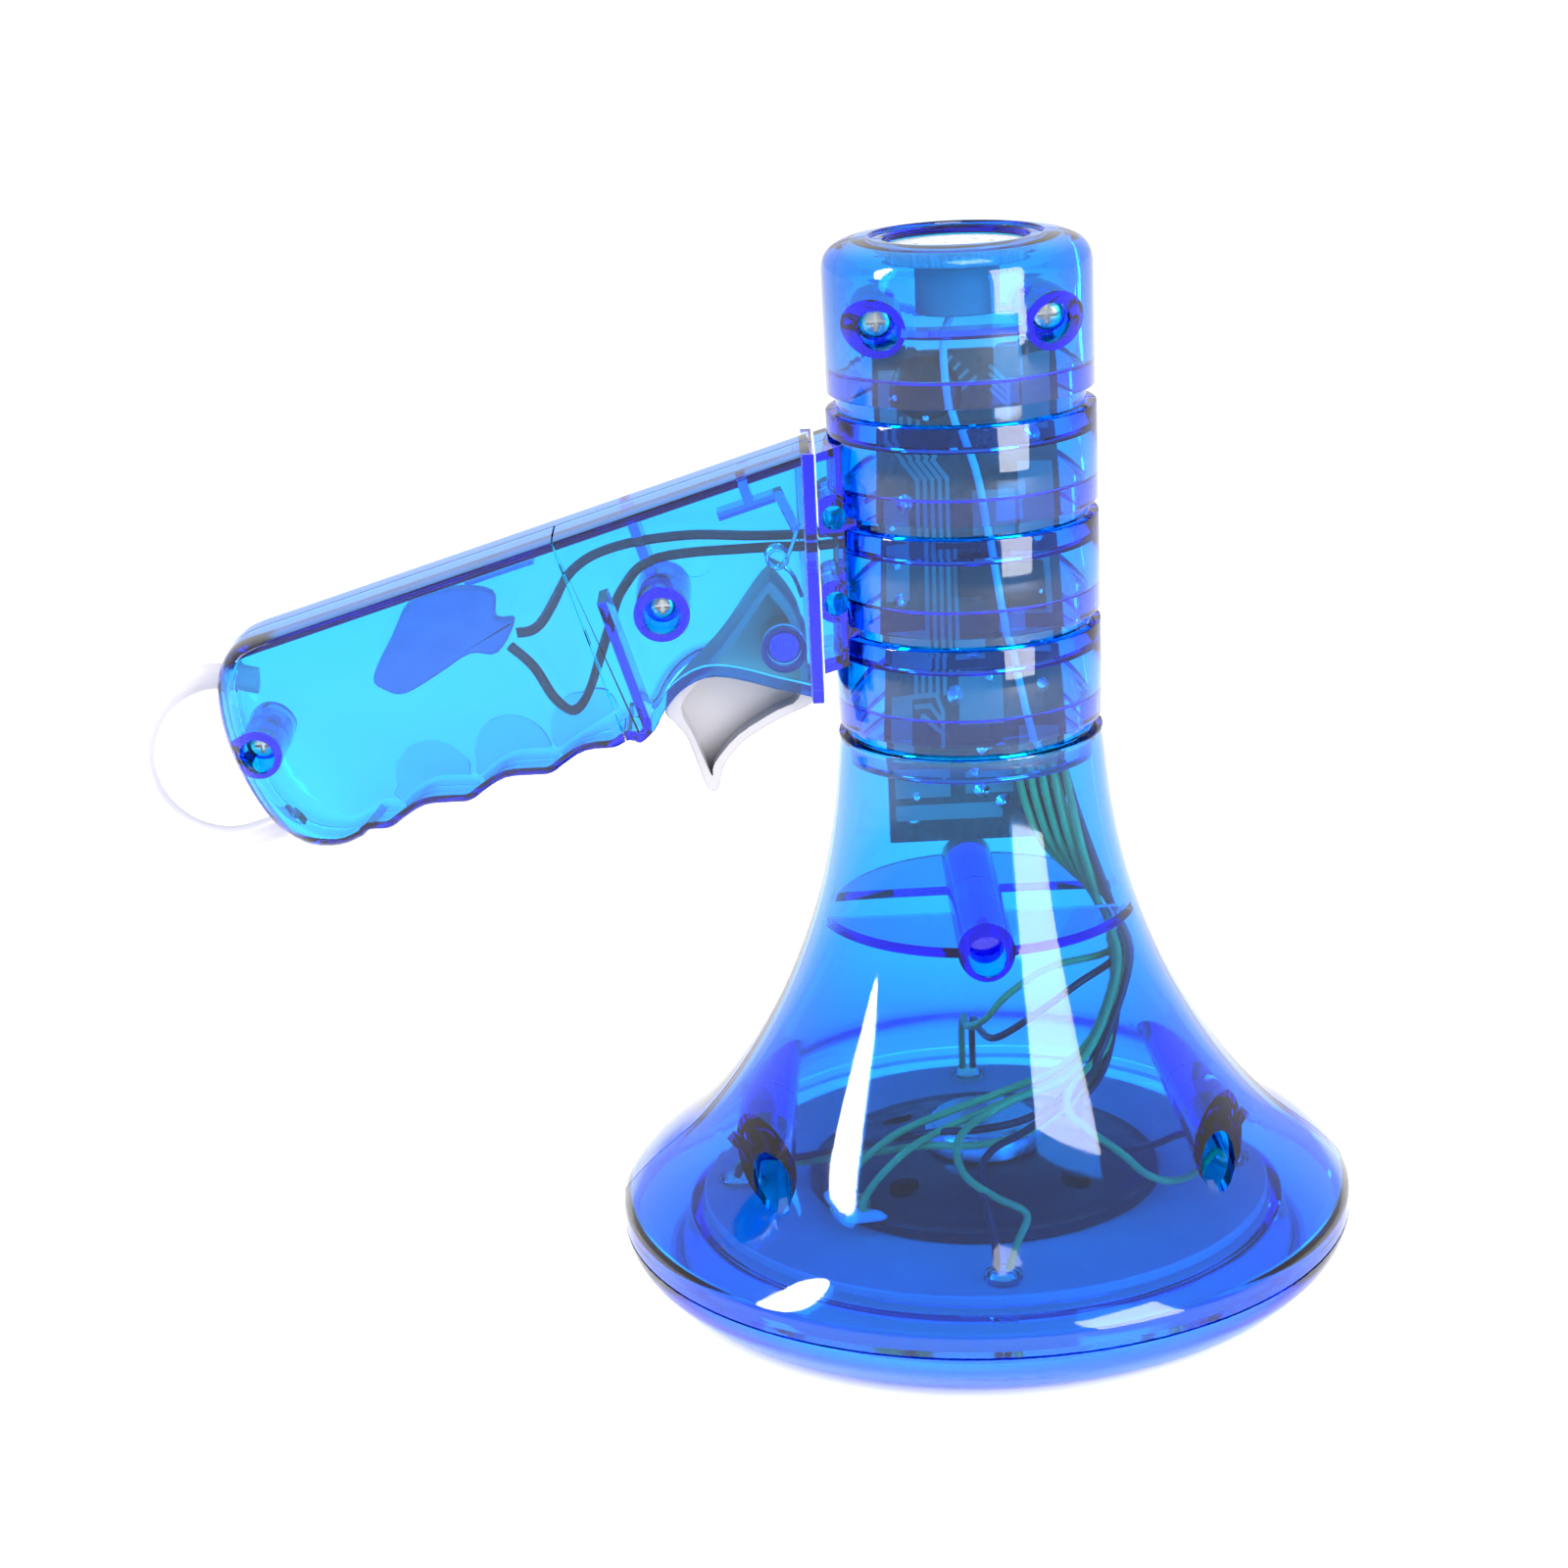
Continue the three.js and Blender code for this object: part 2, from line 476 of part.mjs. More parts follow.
const springPoints = [[-26.0, -2.4, 125.4], [-27.0, -2.3, 122.4]];
for (let i = 0; i <= 20; i++) {
  const a = 0.3 + (i * 2 * Math.PI) / 8;
  springPoints.push([-29.6 + 1.6 * Math.cos(a), -2 + i * 0.2, 119.6 + 1.6 * Math.sin(a)]);
}
springPoints.push([-27.6, 2.2, 116.6], [-25.95, 2.4, 112.4]);
add("trigger_spring", rod(springPoints, 0.35, 60, 5), 0xc8ccd2, 0.25, 1);

// ---- battery clip and wires ----
const clipOutline = [
  atUV(55.7, 6.7), atUV(61.7, 4.0), atUV(68.5, 4.3), atUV(78.1, 13.3), atUV(77, 15.8),
  atUV(74.2, 17.2), atUV(62.4, 14.5), atUV(58.3, 15.7), atUV(54, 11.9), atUV(56.6, 10.6)];
add("battery_clip", slabY(clipOutline, -1.0, 3.0), 0x15181d, 0.6);

const batteryRun = (dz, y0) => [
  [-62.0, y0 + 2.4, 117.5 + dz], [-55.0, 4.0, 121.6 + dz], [-44.0, 4.0, 122.6 + dz],
  [-33.0, 4.0, 121.6 + dz], [-24.0, 4.0, 121.4 + dz], [-18.0, 3.6, 121.6 + dz],
  [-12.0, 1.1, 121.6 + dz]];
add("battery_wire_red", rod([[-71.5, 1.0, 109.4], [-67.8, 1.4, 110.6], ...batteryRun(1.1, 0)],
  0.8, 30), 0xa02018, 0.5);
add("battery_wire_black", rod([
  [-72.7, 1.0, 107.4], [-69.4, 1.8, 103.8], [-66.6, 2.8, 98.4], [-63.6, 3.0, 96.6],
  [-60.2, 3.4, 100.0], [-57.0, 4.0, 108.0], [-54.4, 4.0, 114.6], [-48.6, 4.0, 120.2],
  ...batteryRun(-1.1, 0).slice(3)], 0.8, 34), 0x15161a, 0.5);
add("mic_wire", rod([
  [-1.0, -2.0, 158.0], [-3.0, -3.2, 153.0], [-2.2, -3.4, 142.0], [2.4, -3.4, 130.0],
  [4.6, -3.4, 118.0], [7.4, -3.4, 103.0], [10.6, -3.2, 89.6]], 0.6, 16), 0x6fc8ee, 0.45);

// Ten wires leave the board in two rows of five, go down the right side of the bell, turn over
// the magnet and fan out in pairs. column runs 0 to 4 from the near side, row is -1 or +1.
const PITCH = 1.85;
function bundle(column, row) {
  const c = (column - 2) * PITCH;
  const r = (-row * PITCH) / 2;
  const along = (x, y, z, turn) => {
    const a = (turn * Math.PI) / 180;
    return [x - c * Math.cos(a) - r * Math.sin(a), y + c * Math.sin(a) - r * Math.cos(a), z];
  };
  return [
    along(10.5, -3.7, 85, 0), along(12.0, -4.6, 78, 20), along(14.4, -5.7, 71, 45),
    [20.3 - r, -1.5 + c, 60.6], [23.4 - r, c - 0.4, 51]];
}
const turned = (x, y, z, row, nx, nz) => [x + (row * nx * PITCH) / 2, y, z + (row * nz * PITCH) / 2];
const FANS = [
  { to: "led_near", column: 0, colors: [0x2fae4a, 0x1a1420],
    path: (k) => [turned(20.4, -4.2, 40.5, k, 0.7, -0.7), turned(13.5, -9.5, 35.6, k, 0.5, -0.8),
      turned(6.5, -21, 33.4, k, 0.5, -0.8), turned(1.5, -34, 30, k, 0.8, -0.4),
      [k * 0.95, -40.2, 22], [k * 0.95, -41, 14.0]] },
  { to: "speaker", column: 1, colors: [0x2fae4a, 0x39b653],
    path: (k) => [turned(20.2, -2.0, 40.6, k, 0.7, -0.7), turned(10, -4.2, 35.2, k, 0.2, -1),
      turned(-5, -7, 33.6, k, 0, -1), turned(-16.5, -12.6, 28.0, k, 0.6, -0.8),
      [-22.6 + k * 1.2, -18.6, 17.2]] },
  { to: "led_left", column: 2, colors: [0x2fae4a, 0x1a1420],
    path: (k) => [turned(20.0, 0.2, 41, k, 0.7, -0.7), turned(8, 0.6, 36.2, k, 0.2, -1),
      turned(-9, 1.2, 33.4, k, 0, -1), turned(-21, 1.2, 27.0, k, 0.6, -0.8),
      [-31, -k * 0.95, 19.6], [-39.0, -k * 0.95, 18.0], [-41, -k * 0.95, 14.0]] },
  { to: "led_far", column: 3, colors: [0x2fae4a, 0x1a1420],
    path: (k) => [turned(19.8, 2.4, 41.4, k, 0.7, -0.7), turned(12, 7.5, 37.4, k, 0.5, -0.8),
      turned(4.5, 19, 35, k, 0.5, -0.8), turned(1, 33, 30, k, 0.8, -0.4),
      [k * 0.95, 40.2, 22], [k * 0.95, 41, 14.0]] },
  { to: "led_right", column: 4, colors: [0x2fae4a, 0x1a1420],
    path: (k) => [turned(23.4, 3.6, 42, k, 1, 0), turned(25.0, 3.0, 32, k, 1, 0.2),
      [27.4, -k * 0.95, 23.4], [32.5, -k * 0.95, 19.2], [39.0, -k * 0.95, 18.0],
      [41, -k * 0.95, 14.0]] },
];
FANS.forEach(({ to, column, colors, path }) => {
  [-1, 1].forEach((k, i) => {
    const name = "wire_" + to + (i === 0 ? "_plus" : "_minus");
    add(name, rod([...bundle(column, k), ...path(k)], 0.62, 26), colors[i], 0.5);
  });
});

export default group;
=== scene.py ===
"""Looks for the toy electronic megaphone: clear-blue shells over its visible workings, in Blender 4.5.

Shapes are worked out in millimetres in the drawing frame, whose origin is on the bell axis level with
the rim, and are moved to the row frame in metres when an object is made.
"""
import json
import math

import bmesh
import bpy
from mathutils import Matrix, Vector


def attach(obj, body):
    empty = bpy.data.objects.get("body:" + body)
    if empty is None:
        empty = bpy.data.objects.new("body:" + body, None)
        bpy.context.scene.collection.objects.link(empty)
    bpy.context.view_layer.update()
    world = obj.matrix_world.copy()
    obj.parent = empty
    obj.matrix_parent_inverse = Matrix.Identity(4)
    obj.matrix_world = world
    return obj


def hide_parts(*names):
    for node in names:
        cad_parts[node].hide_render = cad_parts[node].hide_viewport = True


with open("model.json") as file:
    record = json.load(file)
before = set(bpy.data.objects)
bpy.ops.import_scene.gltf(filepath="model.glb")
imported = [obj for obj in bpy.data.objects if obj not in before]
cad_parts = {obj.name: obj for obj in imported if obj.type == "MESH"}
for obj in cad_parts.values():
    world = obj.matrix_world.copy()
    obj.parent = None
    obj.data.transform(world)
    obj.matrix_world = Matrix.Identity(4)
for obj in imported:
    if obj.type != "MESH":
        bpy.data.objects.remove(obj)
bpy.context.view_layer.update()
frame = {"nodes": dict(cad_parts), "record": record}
record = frame["record"]

MM = 0.001
AXIS_X = 37.35
SEAM = 0.15
scene = bpy.context.scene


def row(p):
    return Vector(((p[0] + AXIS_X) * MM, p[1] * MM, p[2] * MM))


# ---------------------------------------------------------------- camera and light
PITCH, ROLL = math.radians(17.082), math.radians(-2.7528)
up0 = Vector((0, math.sin(PITCH), math.cos(PITCH)))
right = Vector((1, 0, 0)) * math.cos(ROLL) + up0 * math.sin(ROLL)
up = -Vector((1, 0, 0)) * math.sin(ROLL) + up0 * math.cos(ROLL)
back = -Vector((0, math.cos(PITCH), -math.sin(PITCH)))
cam_data = bpy.data.cameras.new("camera")
cam_data.sensor_width = 36.0
cam_data.lens = 75.45
cam_data.clip_start = 0.01
cam_data.clip_end = 50
camera = bpy.data.objects.new("camera", cam_data)
scene.collection.objects.link(camera)
place = Matrix((right, up, back)).transposed().to_4x4()
place.translation = row((-30.23, -504.41, 237.13))
camera.matrix_world = place
scene.camera = camera
scene.view_settings.view_transform = "Standard"

world = bpy.data.worlds.new("studio")
scene.world = world
world.use_nodes = True
sky = world.node_tree.nodes["Background"]
sky.inputs["Color"].default_value = (1.0, 1.0, 1.0, 1)
sky.inputs["Strength"].default_value = 1.0


def softbox(name, at, look, size_x, size_y, power, shape="RECTANGLE"):
    data = bpy.data.lights.new(name, "AREA")
    data.shape = shape
    data.size, data.size_y = size_x, size_y
    data.energy = power
    lamp = bpy.data.objects.new(name, data)
    lamp.location = at
    lamp.rotation_euler = (Vector(look) - Vector(at)).to_track_quat("-Z", "Y").to_euler()
    scene.collection.objects.link(lamp)
    return lamp


softbox("softbox_right", (0.37, -0.40, 0.24), (0.04, 0.0, 0.12), 0.26, 0.42, 4.6)
softbox("softbox_left", (-0.50, -0.17, 0.40), (0.03, 0.0, 0.06), 0.13, 0.44, 4.2, "ELLIPSE")
softbox("softbox_top", (0.11, -0.12, 0.80), (0.04, 0.0, 0.05), 0.24, 0.22, 1.2)


# ---------------------------------------------------------------- materials
def material(name, color, rough=0.5, metal=0.0, spec=0.5):
    m = bpy.data.materials.new(name)
    m.use_nodes = True
    n = m.node_tree.nodes
    p = n["Principled BSDF"]
    p.inputs["Base Color"].default_value = (*color, 1)
    p.inputs["Roughness"].default_value = rough
    p.inputs["Metallic"].default_value = metal
    p.inputs["Specular IOR Level"].default_value = spec
    return m, m.node_tree, p


def noise(nt, scale, detail=3.0, rough=0.5, stretch=(1, 1, 1)):
    coord = nt.nodes.new("ShaderNodeTexCoord")
    mapping = nt.nodes.new("ShaderNodeMapping")
    mapping.inputs["Scale"].default_value = stretch
    tex = nt.nodes.new("ShaderNodeTexNoise")
    tex.inputs["Scale"].default_value = scale
    tex.inputs["Detail"].default_value = detail
    tex.inputs["Roughness"].default_value = rough
    nt.links.new(coord.outputs["Object"], mapping.inputs["Vector"])
    nt.links.new(mapping.outputs["Vector"], tex.inputs["Vector"])
    return tex


def ramp(nt, source, stops):
    r = nt.nodes.new("ShaderNodeValToRGB")
    nt.links.new(source, r.inputs["Fac"])
    while len(r.color_ramp.elements) < len(stops):
        r.color_ramp.elements.new(0.5)
    for e, (at, c) in zip(r.color_ramp.elements, stops):
        e.position = at
        e.color = (*c, 1) if len(c) == 3 else c
    return r.outputs["Color"]


def vary_color(nt, p, scale, low, high, **kw):
    tex = noise(nt, scale, **kw)
    nt.links.new(ramp(nt, tex.outputs["Fac"], [(0.3, low), (0.7, high)]), p.inputs["Base Color"])


def vary_rough(nt, p, scale, low, high, **kw):
    tex = noise(nt, scale, **kw)
    mr = nt.nodes.new("ShaderNodeMapRange")
    mr.inputs["From Min"].default_value, mr.inputs["From Max"].default_value = 0.35, 0.7
    mr.inputs["To Min"].default_value, mr.inputs["To Max"].default_value = low, high
    nt.links.new(tex.outputs["Fac"], mr.inputs["Value"])
    nt.links.new(mr.outputs["Result"], p.inputs["Roughness"])


def bump(nt, p, scale, strength, distance, **kw):
    tex = noise(nt, scale, **kw)
    b = nt.nodes.new("ShaderNodeBump")
    b.inputs["Strength"].default_value = strength
    b.inputs["Distance"].default_value = distance
    nt.links.new(tex.outputs["Fac"], b.inputs["Height"])
    nt.links.new(b.outputs["Normal"], p.inputs["Normal"])


def clear_plastic(name, tint, density, rough):
    m, nt, p = material(name, (1, 1, 1), rough)
    p.inputs["Transmission Weight"].default_value = 1.0
    p.inputs["IOR"].default_value = 1.45
    p.inputs["Specular IOR Level"].default_value = 0.2
    vary_rough(nt, p, 220, rough, rough + 0.05, detail=6)
    bump(nt, p, 45, 0.06, 0.0004, detail=2)
    vol = nt.nodes.new("ShaderNodeVolumeAbsorption")
    vol.inputs["Color"].default_value = (*tint, 1)
    vol.inputs["Density"].default_value = density
    nt.links.new(vol.outputs["Volume"], nt.nodes["Material Output"].inputs["Volume"])
    return m


BLUE = clear_plastic("blue_plastic", (0.0, 0.852, 0.9974), 1800, 0.02)
LENS = clear_plastic("led_lens", (0.98, 0.99, 1.0), 20, 0.02)

GREY, nt, p = material("grey_plastic", (0.34, 0.34, 0.36), 0.42)
vary_color(nt, p, 60, (0.32, 0.31, 0.335), (0.36, 0.35, 0.375))
vary_rough(nt, p, 300, 0.36, 0.52)
bump(nt, p, 900, 0.12, 0.0001)

DISC, nt, p = material("grille_disc_plastic", (0.56, 0.56, 0.60), 0.5)
vary_color(nt, p, 60, (0.54, 0.54, 0.57), (0.60, 0.60, 0.64))
vary_rough(nt, p, 300, 0.44, 0.6)

PALE, nt, p = material("pale_plastic", (0.80, 0.80, 0.83), 0.38)
p.inputs["Subsurface Weight"].default_value = 0.25
p.inputs["Subsurface Radius"].default_value = (0.004, 0.004, 0.005)
vary_color(nt, p, 40, (0.42, 0.41, 0.45), (0.48, 0.47, 0.51))
vary_rough(nt, p, 200, 0.30, 0.48)

STEEL, nt, p = material("screw_steel", (0.42, 0.44, 0.46), 0.25, 1.0)
vary_rough(nt, p, 700, 0.16, 0.38)
SPRING, nt, p = material("spring_steel", (0.70, 0.72, 0.75), 0.22, 1.0)
vary_rough(nt, p, 900, 0.15, 0.3)
SHEET, nt, p = material("switch_metal", (0.52, 0.54, 0.57), 0.32, 1.0)
vary_rough(nt, p, 400, 0.25, 0.45, stretch=(1, 1, 8))
BASKET, nt, p = material("dark_steel", (0.025, 0.03, 0.045), 0.38)
vary_rough(nt, p, 160, 0.28, 0.5)
bump(nt, p, 500, 0.1, 0.0002)
MAGNET, nt, p = material("magnet", (0.62, 0.66, 0.70), 0.34, 1.0)
vary_rough(nt, p, 180, 0.2, 0.42)
CONE, nt, p = material("cone_paper", (0.02, 0.02, 0.022), 0.9)
vary_color(nt, p, 500, (0.012, 0.012, 0.014), (0.035, 0.035, 0.038))
bump(nt, p, 1400, 0.5, 0.0003)
TERMINAL, nt, p = material("terminal_board", (0.42, 0.27, 0.10), 0.6)
vary_color(nt, p, 300, (0.35, 0.21, 0.07), (0.48, 0.32, 0.13))
CAPSULE, nt, p = material("capsule_metal", (0.6, 0.61, 0.64), 0.28, 1.0)
vary_rough(nt, p, 500, 0.2, 0.4)
# painted shade: the grille grey is set darker than its plastic to stand in for the shade it sits in, with
# light from below blocked; the random mottling around that darkened grey is the plastic's own
MESH, nt, p = material("grille_plastic", (0.20, 0.22, 0.24), 0.75)
vary_color(nt, p, 900, (0.16, 0.18, 0.20), (0.24, 0.26, 0.28))
bump(nt, p, 1200, 0.5, 0.0003)
FOAM, nt, p = material("mic_foam", (0.55, 0.56, 0.56), 0.9)
vary_color(nt, p, 1500, (0.44, 0.45, 0.45), (0.66, 0.66, 0.66))
bump(nt, p, 1800, 0.5, 0.0003)
BOARD, nt, p = material("board_green", (0.012, 0.06, 0.05), 0.3)
vary_color(nt, p, 90, (0.008, 0.045, 0.040), (0.016, 0.075, 0.062))
vary_rough(nt, p, 300, 0.22, 0.4)
COPPER, nt, p = material("lacquered_copper", (0.10, 0.30, 0.24), 0.28)
vary_color(nt, p, 70, (0.08, 0.26, 0.21), (0.13, 0.36, 0.29))
SOLDER, nt, p = material("solder", (0.80, 0.81, 0.83), 0.2, 1.0)
vary_rough(nt, p, 900, 0.12, 0.35)
EPOXY, nt, p = material("black_epoxy", (0.012, 0.012, 0.015), 0.4)
vary_rough(nt, p, 400, 0.3, 0.55)
SLEEVE, nt, p = material("capacitor_sleeve", (0.01, 0.02, 0.07), 0.3)
vary_rough(nt, p, 200, 0.2, 0.4)
RUBBER, nt, p = material("black_rubber", (0.012, 0.016, 0.03), 0.5)
vary_rough(nt, p, 150, 0.4, 0.65)
CLIP, nt, p = material("clip_vinyl", (0.12, 0.22, 0.55), 0.45)
vary_color(nt, p, 200, (0.10, 0.19, 0.48), (0.13, 0.24, 0.60))
vary_rough(nt, p, 150, 0.38, 0.55)
GLUE, nt, p = material("hot_glue", (0.75, 0.80, 0.80), 0.25)
p.inputs["Subsurface Weight"].default_value = 0.4
p.inputs["Subsurface Radius"].default_value = (0.003, 0.003, 0.003)
bump(nt, p, 260, 0.4, 0.0006)


def wire_material(name, color):
    m, nt, p = material(name, color, 0.42)
    vary_color(nt, p, 160, tuple(c * 0.82 for c in color), tuple(min(1, c * 1.15) for c in color))
    vary_rough(nt, p, 400, 0.34, 0.5)
    return m


WIRES = {
    "wire_green": wire_material("wire_green", (0.10, 0.62, 0.16)),
    "wire_black": wire_material("wire_black", (0.022, 0.012, 0.035)),
    "wire_red": wire_material("wire_red", (0.025, 0.02, 0.05)),
    "wire_blue": wire_material("wire_blue", (0.45, 0.80, 0.95)),
}
BY_SLOT = {
    "blue_plastic": BLUE, "grey_plastic": GREY, "pale_plastic": PALE, "switch_metal": SHEET,
    "dark_steel": BASKET, "cone_paper": CONE, "magnet": MAGNET, "terminal_board": TERMINAL,
    "led_lens": LENS, "grille_plastic": MESH, "capsule_metal": CAPSULE, "board_green": BOARD,
    "black_epoxy": EPOXY, "capacitor_sleeve": SLEEVE, "screw_steel": STEEL,
    "spring_steel": SPRING, "black_rubber": RUBBER, **WIRES,
}
for part in record["subparts"]:
    cad = frame["nodes"][part["node"]]
    cad.data.materials.clear()
    cad.data.materials.append(BY_SLOT[part["material_slot"]])


# ---------------------------------------------------------------- solids
class Solid:
    """A closed mesh in drawing millimetres, cut and joined with Blender's boolean modifier."""

    def __init__(self, verts, faces):
        me = bpy.data.meshes.new("solid")
        me.from_pydata([tuple(v) for v in verts], [], faces)
        bm = bmesh.new()
        bm.from_mesh(me)
        bmesh.ops.remove_doubles(bm, verts=bm.verts, dist=1e-5)
        bmesh.ops.recalc_face_normals(bm, faces=bm.faces)
        bm.to_mesh(me)
        bm.free()
        self.me = me

    def _with(self, other, op):
        a = bpy.data.objects.new("a", self.me)
        b = bpy.data.objects.new("b", other.me)
        scene.collection.objects.link(a)
        scene.collection.objects.link(b)
        mod = a.modifiers.new("b", "BOOLEAN")
        mod.operation, mod.object, mod.solver = op, b, "MANIFOLD"
        graph = bpy.context.evaluated_depsgraph_get()
        made = bpy.data.meshes.new_from_object(a.evaluated_get(graph))
        bpy.data.objects.remove(a)
        bpy.data.objects.remove(b)
        out = Solid.__new__(Solid)
        out.me = made
        return out

    def add(self, other):
        return self._with(other, "UNION")

    def cut(self, *others):
        s = self
        for o in others:
            s = s._with(o, "DIFFERENCE")
        return s

    def common(self, other):
        return self._with(other, "INTERSECT")


def joined(items):
    total = items[0]
    for s in items[1:]:
        total = total.add(s)
    return total


def lathe(points, segments=112):
    """Solid of revolution. Points (radius, z) form a closed profile, or start and end on the axis."""
    open_ended = points[0][0] == 0 and points[-1][0] == 0
    verts, ids = [], []
    for r, z in points:
        if r == 0:
            ids.append([len(verts)] * segments)
            verts.append((0, 0, z))
        else:
            ids.append(list(range(len(verts), len(verts) + segments)))
            for i in range(segments):
                a = 2 * math.pi * i / segments
                verts.append((r * math.cos(a), r * math.sin(a), z))
    faces = []
    pairs = list(zip(ids, ids[1:])) + ([] if open_ended else [(ids[-1], ids[0])])
    for lo, hi in pairs:
        for i in range(segments):
            j = (i + 1) % segments
            f = [lo[i], lo[j], hi[j], hi[i]]
            f = [v for k, v in enumerate(f) if v not in f[:k]]
            if len(f) > 2:
                faces.append(f)
    return Solid(verts, faces)


def bar(axis, at, radius, low, high, segments=40, tip=None):
    """Round bar along Y or Z through the point at, from low to high. tip is the radius at high."""
    verts = []
    for end, r in ((low, radius), (high, radius if tip is None else tip)):
        for i in range(segments):
            a = 2 * math.pi * i / segments
            u, v = at[0] + r * math.cos(a), at[1] + r * math.sin(a)
            verts.append((u, end, v) if axis == "y" else (u, v, end))
    n = segments
    faces = [[i, (i + 1) % n, n + (i + 1) % n, n + i] for i in range(n)]
    faces += [list(range(n)), list(range(n, 2 * n))]
    return Solid(verts, faces)


def box(x0, x1, y0, y1, z0, z1):
    v = [(x, y, z) for x in (x0, x1) for y in (y0, y1) for z in (z0, z1)]
    f = [[0, 1, 3, 2], [4, 6, 7, 5], [0, 4, 5, 1], [2, 3, 7, 6], [0, 2, 6, 4], [1, 5, 7, 3]]
    return Solid(v, f)


def moved(outline, d):
    """The outline moved inwards by d, which may be a list with one distance for each point."""
    out = []
    n = len(outline)
    for i, p in enumerate(outline):
        a, b = outline[i - 1], outline[(i + 1) % n]
        n1 = Vector((-(p[1] - a[1]), p[0] - a[0])).normalized()
        n2 = Vector((-(b[1] - p[1]), b[0] - p[0])).normalized()
        m = n1 + n2
        k = (d[i] if isinstance(d, list) else d) / max(m.dot(n1), 0.35)
        out.append((p[0] + k * m.x, p[1] + k * m.y))
    return out


def stacked(rows, ys):
    """Closed solid through a stack of outlines in X-Z, one at each Y."""
    n = len(rows[0])
    verts = [(q[0], y, q[1]) for row_, y in zip(rows, ys) for q in row_]
    faces = []
    for k in range(len(rows) - 1):
        for i in range(n):
            j = (i + 1) % n
            faces.append([k * n + i, k * n + j, (k + 1) * n + j, (k + 1) * n + i])
    faces += [list(range(n)), list(range(len(verts) - n, len(verts)))]
    return Solid(verts, faces)


def slab(outline, y0, y1, edge=0.0, steps=4):
    """An outline in X-Z pushed along Y from y0 to y1, with its long edges rounded by edge."""
    if not edge:
        return stacked([outline, outline], [y0, y1])
    turns = [math.pi / 2 * i / steps for i in range(steps + 1)]
    draw = [edge * (1 - math.sin(a)) for a in turns]
    lift = [edge * (1 - math.cos(a)) for a in turns]
    ys = [y0 + d for d in lift] + [y1 - d for d in reversed(lift)]
    return stacked([moved(outline, d) for d in draw + draw[::-1]], ys)


def along_y(solid, x, z):
    """A solid drawn round the Z axis, turned so that its Z runs along +Y through (x, z)."""
    solid.me.transform(Matrix(((1, 0, 0, x), (0, 0, 1, 0), (0, -1, 0, z), (0, 0, 0, 1))))
    return solid


def smooth_line(points, per=6, closed=False):
    """Catmull-Rom curve through points of any dimension."""
    pts = [Vector(p) for p in points]
    n = len(pts)
    out = []
    spans = n if closed else n - 1
    for i in range(spans):
        p0 = pts[i - 1] if (i or closed) else pts[0]
        p1, p2 = pts[i], pts[(i + 1) % n]
        p3 = pts[(i + 2) % n] if (closed or i + 2 < n) else pts[-1]
        for k in range(per):
            t = k / per
            out.append(0.5 * ((2 * p1) + (p2 - p0) * t + (2 * p0 - 5 * p1 + 4 * p2 - p3) * t * t
                              + (3 * p1 - p0 - 3 * p2 + p3) * t ** 3))
    if not closed:
        out.append(pts[-1])
    return out


def tube(points, radius, sides=12, per=6, ends=True):
    """Round wire along a smooth curve through points, with closed ends."""
    line = smooth_line(points, per) if per > 1 else [Vector(p) for p in points]
    verts, faces = [], []
    normal = None
    for i, p in enumerate(line):
        a = line[max(i - 1, 0)]
        b = line[min(i + 1, len(line) - 1)]
        t = (b - a).normalized()
        if normal is None:
            normal = t.orthogonal().normalized()
        normal = (normal - t * normal.dot(t)).normalized()
        side = t.cross(normal)
        for k in range(sides):
            w = 2 * math.pi * k / sides
            verts.append(p + radius * (math.cos(w) * normal + math.sin(w) * side))
    for i in range(len(line) - 1):
        for k in range(sides):
            j = (k + 1) % sides
            faces.append([i * sides + k, i * sides + j, (i + 1) * sides + j, (i + 1) * sides + k])
    faces.append(list(range(sides)))
    faces.append(list(range(len(verts) - sides, len(verts))))
    return Solid(verts, faces)


def piece(name, solid, mat, body="body", replaces=(), angle=32, soften=0.0):
    """Turns a solid into a finished object in the row frame that rides on a body."""
    me = solid.me
    me.name = name
    me.transform(Matrix.Scale(MM, 4) @ Matrix.Translation((AXIS_X, 0, 0)))
    me.materials.clear()
    me.materials.append(mat)
    ob = bpy.data.objects.new(name, me)
    scene.collection.objects.link(ob)
    if soften:
        mod = ob.modifiers.new("edges", "BEVEL")
        mod.width = soften * MM
        mod.segments = 2
        mod.limit_method = "ANGLE"
        mod.angle_limit = math.radians(40)
        mod.harden_normals = False
    for poly in me.polygons:
        poly.use_smooth = True
    me.set_sharp_from_angle(angle=math.radians(angle))
    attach(ob, body)
    if replaces:
        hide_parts(*replaces)
    return ob


# ---------------------------------------------------------------- floor
me = bpy.data.meshes.new("floor")
me.from_pydata([(-6, -6, 0), (6, -6, 0), (6, 6, 0), (-6, 6, 0)], [], [[0, 1, 2, 3]])
floor = bpy.data.objects.new("floor", me)
floor.location.z = -0.0004
scene.collection.objects.link(floor)
FLOOR, nt, p = material("floor_paper", (0.93, 0.93, 0.93), 0.9, spec=0.1)
p.inputs["Emission Color"].default_value = (1, 1, 1, 1)
p.inputs["Emission Strength"].default_value = 0.32
vary_color(nt, p, 2.0, (0.925, 0.925, 0.925), (0.935, 0.935, 0.935))
me.materials.append(FLOOR)

